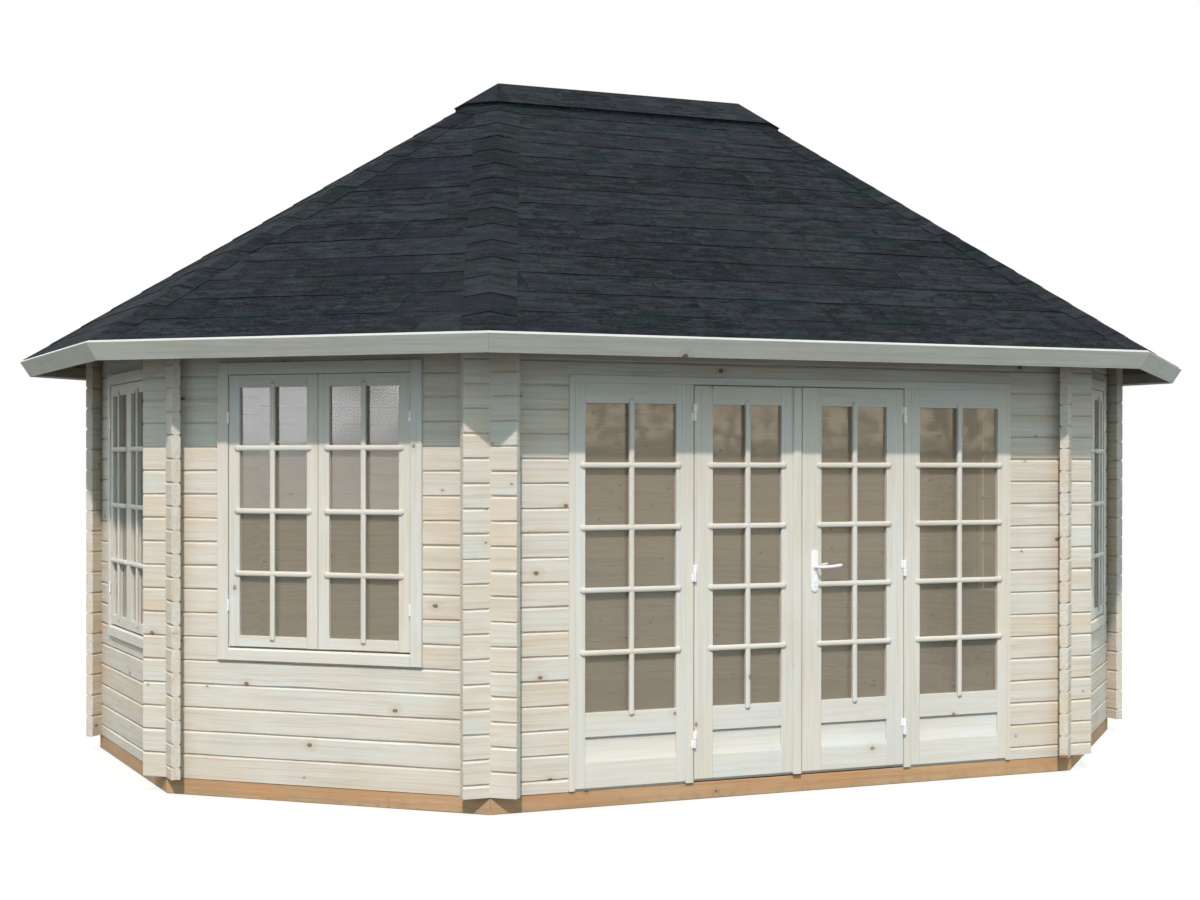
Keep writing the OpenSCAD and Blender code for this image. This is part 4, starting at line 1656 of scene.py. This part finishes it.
    def knuckle(self, piece: Piece, flip: int, z: float, towards: int, cap: int) -> None:
        """Half a hinge: a barrel, its finial and a strap.

        Args:
            piece: The piece.
            flip: -1 left of the middle, 1 right of it.
            z: Foot of the barrel.
            towards: -1 for a strap onto the leaf, 1 for one onto the post.
            cap: -1 for a finial at the foot, 1 for one at the head.
        """
        r, h = self.barrel_r, self.barrel_h
        at = Vector((flip * self.axis[0], self.axis[1], z))
        ends = [(r * 0.80, 0.0), (r, 0.0012)]
        dome = [(r, h - 0.006), (r * 0.93, h - 0.0032), (r * 0.72, h - 0.0012), (r * 0.35, h - 0.0002)]
        profile = ends + dome if cap > 0 else [(a, h - b) for a, b in reversed(ends + dome)]
        piece.add(Solid.turned(profile, at), self.place)
        reach, back = flip * towards, self.axis[1] + r
        strap = sorted((at.x, at.x + reach * self.strap_w))
        bar = Solid.bar(strap, (back - 0.004, back), (z + 0.001, z + h - 0.001), Along.Z, 0.0012)
        piece.add(bar, self.place)
        for dz in (0.3, 0.7):
            screw = Vector((at.x + reach * 0.0125, back - 0.004, z + h * dz))
            piece.add(Solid.boss(screw, self.screw, -1, 12), self.place)

    def hinges(self) -> None:
        """Three hinges on each leaf: the upper halves on the leaf, the lower ones on the post."""
        lower = Piece("post_hinge_halves")
        for name, flip in (("left_door", -1), ("right_door", 1)):
            upper = Piece(f"{name}_hinge_halves")
            for z in self.hinge_zs:
                self.knuckle(upper, flip, z + self.barrel_h + 0.001, -1, 1)
                self.knuckle(lower, flip, z, 1, -1)
            upper.build(self.metal, "white_metal", name, [f"{name}_hinges"])
        lower.build(self.metal, "white_metal", stands_for=["post_hinges"])

    def handle(self) -> None:
        """Rounded plates with a keyhole and a curved lever on both faces."""
        plates = Piece("lock_plates")
        for out, face in zip((-1, 1), self.faces):
            self.escutcheon(plates, out, face + out * FIT)
        plates.build(self.metal, "white_metal", "right_door", ["handle_plates"])
        lever = Piece("lever_handle")
        for out, face in zip((-1, 1), self.faces):
            lever.add(self.lever(out, face), self.place)
        spindle = [(Vector((self.lever_x, y, self.lever_z)), 0.005, 0.005) for y in (-0.012, 0.036)]
        lever.add(Solid.swept(spindle, 8), self.place)
        lever.build(self.metal, "white_metal", "lever", ["door_lever"])

    def escutcheon(self, piece: Piece, out: int, y: float) -> None:
        """One long plate with rounded ends, a rose, a key cylinder and two screws."""
        w, h, x = self.plate[0] / 2, self.plate[1] / 2, self.lever_x
        corner, outline = w * 0.98, []
        for cx, cz, start in ((w - corner, h - corner, 0), (corner - w, h - corner, 90),
                              (corner - w, corner - h, 180), (w - corner, corner - h, 270)):
            for a in (math.radians(start + 15 * j) for j in range(7)):
                outline.append((cx + corner * math.cos(a), cz + corner * math.sin(a)))
        high, rings = self.plate_t * 0.8, []
        for inset, depth in ((0.0, 0.0), (0.0, 0.55), (0.0010, 0.85), (0.0028, 1.0), (0.010, 1.08)):
            k, kh = 1 - inset / w, 1 - inset / h
            rings.append([Vector((x + px * k, y + out * high * depth, self.plate_z + pz * kh))
                          for px, pz in outline])
        piece.add(Solid.loft(rings), self.place)
        front, screws = y + out * high, [(self.plate_z + dz, 0.0036, 0.0016) for dz in (-0.086, 0.086)]
        rose, cylinder = (self.lever_z, 0.0145, 0.004), (self.lever_z - 0.072, 0.0082, 0.0035)
        for z, r, t in (rose, cylinder):
            self.disc(piece, Vector((x, front, z)), out, r, t)
        slot_z = self.lever_z - 0.086
        slot = Solid.bar((x - 0.0048, x + 0.0048), sorted((front, front + out * 0.0035)),
                         (slot_z - 0.010, slot_z + 0.012), Along.Z, 0.0012)
        piece.add(slot, self.place)
        for z, r, t in screws:
            self.disc(piece, Vector((x, front, z)), out, r, t)

    def disc(self, piece: Piece, at: Vector, out: int, r: float, t: float) -> None:
        """Adds a low boss with a rounded edge to a plate."""
        profile = [(r * k, t * d) for k, d in ((1.0, -0.2), (1.0, 0.6), (0.9, 0.92), (0.6, 1.0))]
        piece.add(Solid.boss(at, profile, out), self.place)

    def lever(self, out: int, face: float) -> Solid:
        """A lever that leaves its plate square, bends along it and dips a little towards its tip."""
        reach, bend = self.lever_out, 0.018
        path = [(0, 0.006, 0, 0.0076, 0.0076), (0, reach - bend - 0.006, 0, 0.0070, 0.0070)]
        for a in (math.pi / 2 * j / 5 for j in range(1, 6)):
            x, y = bend * (1 - math.cos(a)), reach - bend + bend * math.sin(a) - 0.002
            path.append((x, y, 0, 0.0072, 0.0072))
        arm = ((0.045, 0.000, 0.0005, 0.0078, 0.0062), (0.070, -0.001, 0.002, 0.0082, 0.0058),
               (0.095, -0.002, 0.004, 0.0082, 0.0055), (0.113, -0.001, 0.0065, 0.0078, 0.0052),
               (0.123, 0.001, 0.0085, 0.0068, 0.0046), (0.1285, 0.003, 0.0098, 0.0036, 0.0026))
        path += [(x, reach - 0.002 + y, z, tall, wide) for x, y, z, tall, wide in arm]
        return Solid.swept([(Vector((self.lever_x + x, face + out * y, self.lever_z + z)), tall, wide)
                            for x, y, z, tall, wide in path])


# ---------------------------------------------------------------- windows


@dataclass
class Windows:
    """Four windows of two casements each, with bars over the glass."""

    timber: bpy.types.Material
    glass: bpy.types.Material
    metal: bpy.types.Material
    width: float = 1.080
    low: float = 0.660
    height: float = 1.420
    casing: float = 0.058
    proud: float = 0.015
    stile: float = 0.058
    sash_t: float = 0.036
    sash_face: float = -0.0075
    glass_in: float = 0.016
    gap: float = 0.003
    stop: float = 0.015
    rebate: float = 0.006
    bars: tuple[float, ...] = (1.672, 1.373, 1.076)
    hinge_zs: Span = (0.895, 1.790)
    offsets: dict[Side, float] = field(default_factory=lambda: {
        Side.FRONT_RIGHT: 0.022, Side.RIGHT: 0.0, Side.LEFT: 0.0, Side.FRONT_LEFT: -0.022})

    def opening(self, side: Side) -> Opening:
        """The hole that a window needs in its wall."""
        x, half = self.offsets[side], self.width / 2 + FIT
        return Opening((x - half, x + half), (self.low - FIT, self.low + self.height + FIT))

    def build(self) -> None:
        """Builds frames, sashes, panes and hinges."""
        frames, sashes = Piece("casement_frames"), Piece("casement_sashes")
        panes, hinges = Piece("window_panes"), Piece("casement_hinges")
        for side, middle in self.offsets.items():
            place = PLAN.wall(side) @ Matrix.Translation((middle, 0, 0))
            self.casing_of(frames, place)
            for flip in (-1, 1):
                self.sash(sashes, panes, place, flip)
                self.side_hinges(hinges, place, flip)
        frames.build(self.timber, "joinery", stands_for=["window_frames"])
        sashes.build(self.timber, "joinery", stands_for=["window_sashes"])
        panes.build(self.glass, "glass", stands_for=["window_glass"])
        hinges.build(self.metal, "white_metal")

    def casing_of(self, piece: Piece, place: Matrix) -> None:
        """The frame of one window: two uprights, head and sill, each with its stop behind the sashes."""
        half, top = self.width / 2, self.low + self.height
        y = (-self.proud, PLAN.wall_t)
        stop_y = (self.sash_face + self.sash_t + 0.0004, PLAN.wall_t)
        inner, c, s = half - self.casing, self.casing, self.stop
        for flip in (-1, 1):
            upright = Solid.bar(mirrored(flip, (inner, half)), y, (self.low, top), Along.Z, 0.0025)
            stop = Solid.bar(mirrored(flip, (inner - s, inner + 0.001)), stop_y, (self.low + c, top - c),
                             Along.Z, 0.0015)
            piece.add(upright, place, Along.Z)
            piece.add(stop, place, Along.Z)
        level = (-inner + FIT, inner - FIT)
        piece.add(Solid.bar(level, y, (top - c, top), Along.X, 0.0025), place)
        slope = [(-self.proud, self.low + 0.0025), (-self.proud + 0.0025, self.low), (PLAN.wall_t, self.low),
                 (PLAN.wall_t, self.low + c), (self.sash_face + 0.004, self.low + c),
                 (-self.proud + 0.002, self.low + c - 0.006), (-self.proud, self.low + c - 0.009)]
        piece.add(Solid.run(slope, level), place)
        inside = (-inner + s, inner - s)
        for z in ((top - c - s, top - c + 0.001), (self.low + c - 0.001, self.low + c + s)):
            piece.add(Solid.bar(inside, stop_y, z, Along.X, 0.0015), place)

    def sash(self, wood: Piece, panes: Piece, place: Matrix, flip: int) -> None:
        """One casement with its pane and bars.

        Args:
            wood: The piece of woodwork.
            panes: The piece of glass.
            place: The window's matrix.
            flip: -1 for the left casement, 1 for the right one.
        """
        inner = self.width / 2 - self.casing - self.gap
        x0, x1 = mirrored(flip, (self.gap / 2, inner))
        z0 = self.low + self.casing + self.gap
        z1 = self.low + self.height - self.casing - self.gap
        y, s = (self.sash_face, self.sash_face + self.sash_t), self.stile
        gx, gz = (x0 + s, x1 - s), (z0 + s, z1 - s)
        glass = self.sash_face + self.glass_in
        lip = glass - REBATE.slack
        for outer, edge in ((x0, gx[0]), (x1, gx[1])):
            wood.add(REBATE.stile(outer, edge, y, lip, (z0 + self.rebate, z1)), place, Along.Z)
        for outer, edge in ((z0 + self.rebate, gz[0]), (z1, gz[1])):
            board = wood.start_board()
            for layer in REBATE.rail(outer, edge, y, lip, gx):
                wood.add(layer, place, board=board)
        for bead, along in REBATE.beads(gx, gz, glass):
            wood.add(bead, place, along)
        BARS.grid(wood, place, gx, gz, self.bars, self.sash_face, glass)
        panes.add(REBATE.pane(gx, gz, glass), place, Along.Z)

    def side_hinges(self, piece: Piece, place: Matrix, flip: int) -> None:
        """Two slim white hinges on the outer edge of a casement."""
        at = Vector((flip * (self.width / 2 - self.casing - self.gap / 2), self.sash_face - 0.0056, 0))
        r, h = 0.0052, 0.026
        barrel = [(r * 0.75, 0.0), (r, 0.001), (r, h - 0.001), (r * 0.75, h)]
        for z in self.hinge_zs:
            second = z + h + 0.0006
            for foot in (z, second):
                piece.add(Solid.turned(barrel, at + UP * foot, 14), place)
            for foot, end in ((z, -1), (second + h, 1)):
                finial = [(r * 0.9, 0.0), (r * 0.6, end * 0.0018), (r * 0.2, end * 0.0026)]
                piece.add(Solid.turned(finial, at + UP * foot, 14), place)


# ---------------------------------------------------------------- setting


@dataclass(frozen=True)
class Card:
    """A bent card round the studio that only the glass and metal show.

    It starts and ends at the turns in degrees and stands between two heights. It shines with the
    first glow low down and with up to the second where it is cloudy, higher up. A card that stands
    near is seen through the glass, and any other one is mirrored.
    """

    name: str
    turns: Span
    rise: Span
    colour: Colour
    glow: Span
    grain: float
    far: float = 26.0
    near: bool = False


@dataclass
class Studio:
    """Floor, light and camera."""

    lens: float = 60.07
    shift: Point2 = (0.0014, 0.0167)
    eye: tuple[float, float, float] = (-4.942, -10.553, 1.601)
    yaw: float = 0.4266
    pitch: float = -0.0034
    roll: float = 0.0007
    sun_from: tuple[float, float, float] = (-0.332, -0.589, 0.7365)
    sun: float = 2.93
    sun_colour: Colour = (1.0, 0.898, 0.862)
    fill_from: tuple[float, float, float] = (0.42, 0.76, 0.50)
    fill: float = 1.1
    sky: float = 1.13
    sky_colour: Colour = (0.72, 0.905, 1.0)
    hedge: tuple[float, float, float] = (-0.86, 0.51, 0.0)
    floor_r: float = 60.0
    floor_colour: Colour = (0.13, 0.13, 0.125)
    floor_glow: float = 0.84
    hedge_colour: Colour = (0.64, 0.64, 0.54)
    hedge_share: float = 0.42
    cards: tuple[Card, ...] = (
        Card("earth_card", (-98, 21), (0.0, 24.0), (1.0, 0.79, 0.57), (0.9, 4.2), 5.0),
        Card("sky_card", (122, 214), (0.78, 26.0), (0.88, 0.90, 0.97), (3.7, 10.0), 0.6),
        Card("hedge_card", (-60, 88), (0.0, 8.0), (0.02, 0.02, 0.015), (0.2, 0.2), 1.0, 8.0, near=True))

    def build(self) -> None:
        """Sets the scene."""
        scene = bpy.context.scene
        scene.view_settings.view_transform = "Standard"
        self.floor()
        for card in self.cards:
            self.stand_card(card)
        self.world()
        self.lamp("key_sun", self.sun_from, self.sun, 1.6)
        self.lamp("back_fill", self.fill_from, self.fill, 40.0)
        self.camera()

    def lamp(self, name: str, source: Sequence[float], strength: float, spread: float) -> None:
        """Hangs a far lamp.

        Args:
            name: The lamp's name.
            source: Direction that its light comes from.
            strength: How strong it is.
            spread: Angle in degrees over which it is spread.
        """
        lamp = bpy.data.lights.new(name, "SUN")
        lamp.energy, lamp.color, lamp.angle = strength, self.sun_colour, math.radians(spread)
        made = bpy.data.objects.new(name, lamp)
        made.rotation_mode = "QUATERNION"
        made.rotation_quaternion = Vector(source).to_track_quat("Z", "Y")
        bpy.context.scene.collection.objects.link(made)

    def camera(self) -> None:
        """The camera at standing height in front of the left end of the doors."""
        data = bpy.data.cameras.new("camera")
        data.lens, data.sensor_width = self.lens, 36.0
        data.shift_x, data.shift_y = self.shift
        data.clip_start, data.clip_end = 0.1, 300.0
        made = bpy.data.objects.new("camera", data)
        ahead = Vector((math.sin(self.yaw) * math.cos(self.pitch), math.cos(self.yaw) * math.cos(self.pitch),
                        math.sin(self.pitch)))
        made.location = self.eye
        made.rotation_mode = "QUATERNION"
        roll = Matrix.Rotation(self.roll, 3, "Z").to_quaternion()
        made.rotation_quaternion = ahead.to_track_quat("-Z", "Y") @ roll
        bpy.context.scene.collection.objects.link(made)
        bpy.context.scene.camera = made

    @staticmethod
    def seen(w: Wiring, mirrored: float = 1.0) -> bpy.types.NodeSocket:
        """How much of the pale backdrop a ray sees.

        Args:
            w: The wiring of the floor or the world.
            mirrored: How much of it metal and glass mirror.

        Returns:
            1 for rays from the camera and through glass, and 0 for light on matt surfaces.
        """
        rays = w.node("LightPath")
        glossy = w.math("MULTIPLY", rays.outputs["Is Glossy Ray"], mirrored)
        either = w.math("MAXIMUM", rays.outputs["Is Camera Ray"], rays.outputs["Is Transmission Ray"])
        straight = w.math("LESS_THAN", rays.outputs["Diffuse Depth"], 0.5)
        return w.math("MULTIPLY", w.math("MAXIMUM", either, glossy), straight)

    def floor(self) -> None:
        """A plain pale floor that keeps the shadow."""
        rim = [(self.floor_r * math.cos(a), self.floor_r * math.sin(a), -0.002) for a in round_steps(96)]
        floor = self.sheet("studio_floor", rim, [tuple(range(96))])
        w = self.bare_material(floor, "pale_floor")
        matt, glow, both = w.node("BsdfDiffuse"), w.node("Emission"), w.node("AddShader")
        w.feed(matt.inputs["Color"], self.floor_colour)
        w.feed(glow.inputs["Strength"], w.math("MULTIPLY", self.seen(w, 0.2), self.floor_glow))
        w.feed(both.inputs[0], matt.outputs[0])
        w.feed(both.inputs[1], glow.outputs[0])
        w.feed(w.node("OutputMaterial").inputs["Surface"], both.outputs[0])

    @staticmethod
    def sheet(name: str, verts: Sequence[tuple[float, float, float]],
              faces: Sequence[tuple[int, ...]]) -> bpy.types.Object:
        """Makes a bare sheet of the studio."""
        mesh = bpy.data.meshes.new(name)
        mesh.from_pydata(verts, [], faces)
        made = bpy.data.objects.new(name, mesh)
        bpy.context.scene.collection.objects.link(made)
        return made

    @staticmethod
    def bare_material(made: bpy.types.Object, name: str) -> Wiring:
        """Gives a sheet a material without any nodes, and its wiring back."""
        material = bpy.data.materials.new(name)
        material.use_nodes = True
        material.node_tree.nodes.clear()
        made.data.materials.append(material)
        return Wiring(material.node_tree)

    def stand_card(self, card: Card) -> None:
        """Stands one card in its place."""
        steps = 16
        n, (start, end) = steps + 1, card.turns
        turns = [math.radians(start + (end - start) * k / steps) for k in range(n)]
        verts = [(card.far * math.cos(a), card.far * math.sin(a), z) for z in card.rise for a in turns]
        made = self.sheet(card.name, verts, [(k, k + 1, n + k + 1, n + k) for k in range(steps)])
        made.visible_camera = made.visible_diffuse = made.visible_shadow = False
        made.visible_transmission, made.visible_glossy = card.near, not card.near
        w = self.bare_material(made, card.name)
        shader, spot = w.node("BsdfPrincipled"), w.node("TexCoord").outputs["Object"]
        cloud = w.fit(w.noise(spot, card.grain).outputs[0], 0.38, 0.62, 0.35, 1.0)
        higher = w.math("MULTIPLY", w.fit(w.axes(spot)[2], 1.5, 2.2), cloud)
        w.feed(shader.inputs["Base Color"], (0.03, 0.035, 0.03))
        w.feed(shader.inputs["Roughness"], 1.0)
        w.feed(shader.inputs["Emission Color"], card.colour)
        w.feed(shader.inputs["Emission Strength"], w.fit(higher, 0.0, 1.0, *card.glow))
        w.feed(w.node("OutputMaterial").inputs["Surface"], shader.outputs[0])

    def world(self) -> None:
        """A pale sky that shows as white, and gives less light where a hedge stands."""
        world = bpy.data.worlds.new("studio")
        bpy.context.scene.world = world
        world.use_nodes = True
        tree = world.node_tree
        tree.nodes.clear()
        w = Wiring(tree)
        light, white = w.node("Background"), w.node("Background")
        towards = w.vector("DOT_PRODUCT", w.node("TexCoord").outputs["Generated"], self.hedge)
        shade = w.fit(towards, 0.58, 0.95)
        w.feed(light.inputs["Color"], w.mix(shade, self.sky_colour, self.hedge_colour))
        w.feed(light.inputs["Strength"], w.fit(shade, 0.0, 1.0, self.sky, self.sky * self.hedge_share))
        w.feed(white.inputs["Color"], (1.0, 1.0, 1.0))
        w.feed(white.inputs["Strength"], 1.0)
        surface = w.either(self.seen(w), light.outputs[0], white.outputs[0])
        w.feed(w.node("OutputWorld").inputs["Surface"], surface)


LOG_TIMBER = Timber("whitewashed_logs", pale=(0.69, 0.655, 0.57), warm=(0.70, 0.61, 0.48),
                    cool=(0.67, 0.68, 0.61), late=(0.50, 0.395, 0.28), rings=0.34, knots=0.62)
JOINERY = Timber("painted_joinery", pale=(0.70, 0.675, 0.60), warm=(0.71, 0.66, 0.555),
                 cool=(0.68, 0.69, 0.64), late=(0.58, 0.51, 0.40), knot=(0.36, 0.27, 0.19), rings=0.18,
                 knots=0.24, roughness=0.6, relief=0.0005)
FOUNDATION = Timber("treated_foundation", pale=(0.61, 0.385, 0.205), warm=(0.62, 0.34, 0.16),
                    cool=(0.54, 0.37, 0.22), late=(0.34, 0.165, 0.075), knot=(0.16, 0.08, 0.04), rings=0.75,
                    roughness=0.7, soiling=0.25)
# painted shade: the roof timber is made very dark so that the eaves' undersides and the rafters read as
# shaded
SHADE_DARKENED_ROOF_TIMBER = Timber("dipped_roof_timber", pale=(0.155, 0.135, 0.10), warm=(0.165, 0.135, 0.09),
                     cool=(0.135, 0.13, 0.105), late=(0.08, 0.062, 0.045), knot=(0.05, 0.038, 0.028),
                     rings=0.42, roughness=0.75, relief=0.001)
JOIST_TIMBER = Timber("sawn_joists", pale=(0.62, 0.50, 0.35), warm=(0.64, 0.46, 0.28),
                      cool=(0.57, 0.49, 0.38), late=(0.42, 0.27, 0.14), rings=0.4, roughness=0.78)
FLOOR_TIMBER = Timber("planed_floor", pale=(0.68, 0.58, 0.43), warm=(0.70, 0.54, 0.35),
                      cool=(0.66, 0.60, 0.48), late=(0.50, 0.34, 0.19), rings=0.38, roughness=0.55)
# the fascia's upward faces are darkened: dust lying on them, and painted shade over the lit top edge
FASCIA_TIMBER = Timber("stained_fascia", pale=(0.70, 0.69, 0.61), warm=(0.71, 0.67, 0.57),
                       cool=(0.68, 0.69, 0.63), late=(0.48, 0.47, 0.39), rings=0.22, knots=0.10,
                       roughness=0.5, settled=0.62, soil=(0.40, 0.41, 0.39), soiling=0.15)


def main() -> None:
    """Builds the gazebo and its setting."""
    logging.basicConfig(level=logging.INFO, format="%(name)s: %(message)s", stream=sys.stdout)
    Finish.shared()
    logs, joinery, bare = LOG_TIMBER.material(), JOINERY.material(), SHADE_DARKENED_ROOF_TIMBER.material()
    glass, metal, covering = Glass().material(), WhiteMetal().material(), Shingles().material()
    Studio().build()
    Base(FOUNDATION.material(), JOIST_TIMBER.material(carried=False), FLOOR_TIMBER.material()).build()
    windows = Windows(joinery, glass, metal)
    doors = DoorSet(joinery, glass, metal)
    openings = {side: windows.opening(side) for side in windows.offsets}
    reach = doors.set_half + FIT
    openings[Side.FRONT] = Opening((-reach, reach), (0.0, doors.head_z + doors.head_h + FIT))
    LogWalls(logs).build(openings)
    windows.build()
    doors.build()
    Roof(bare, FASCIA_TIMBER.material(), covering).build()


if __name__ == "__main__":
    main()
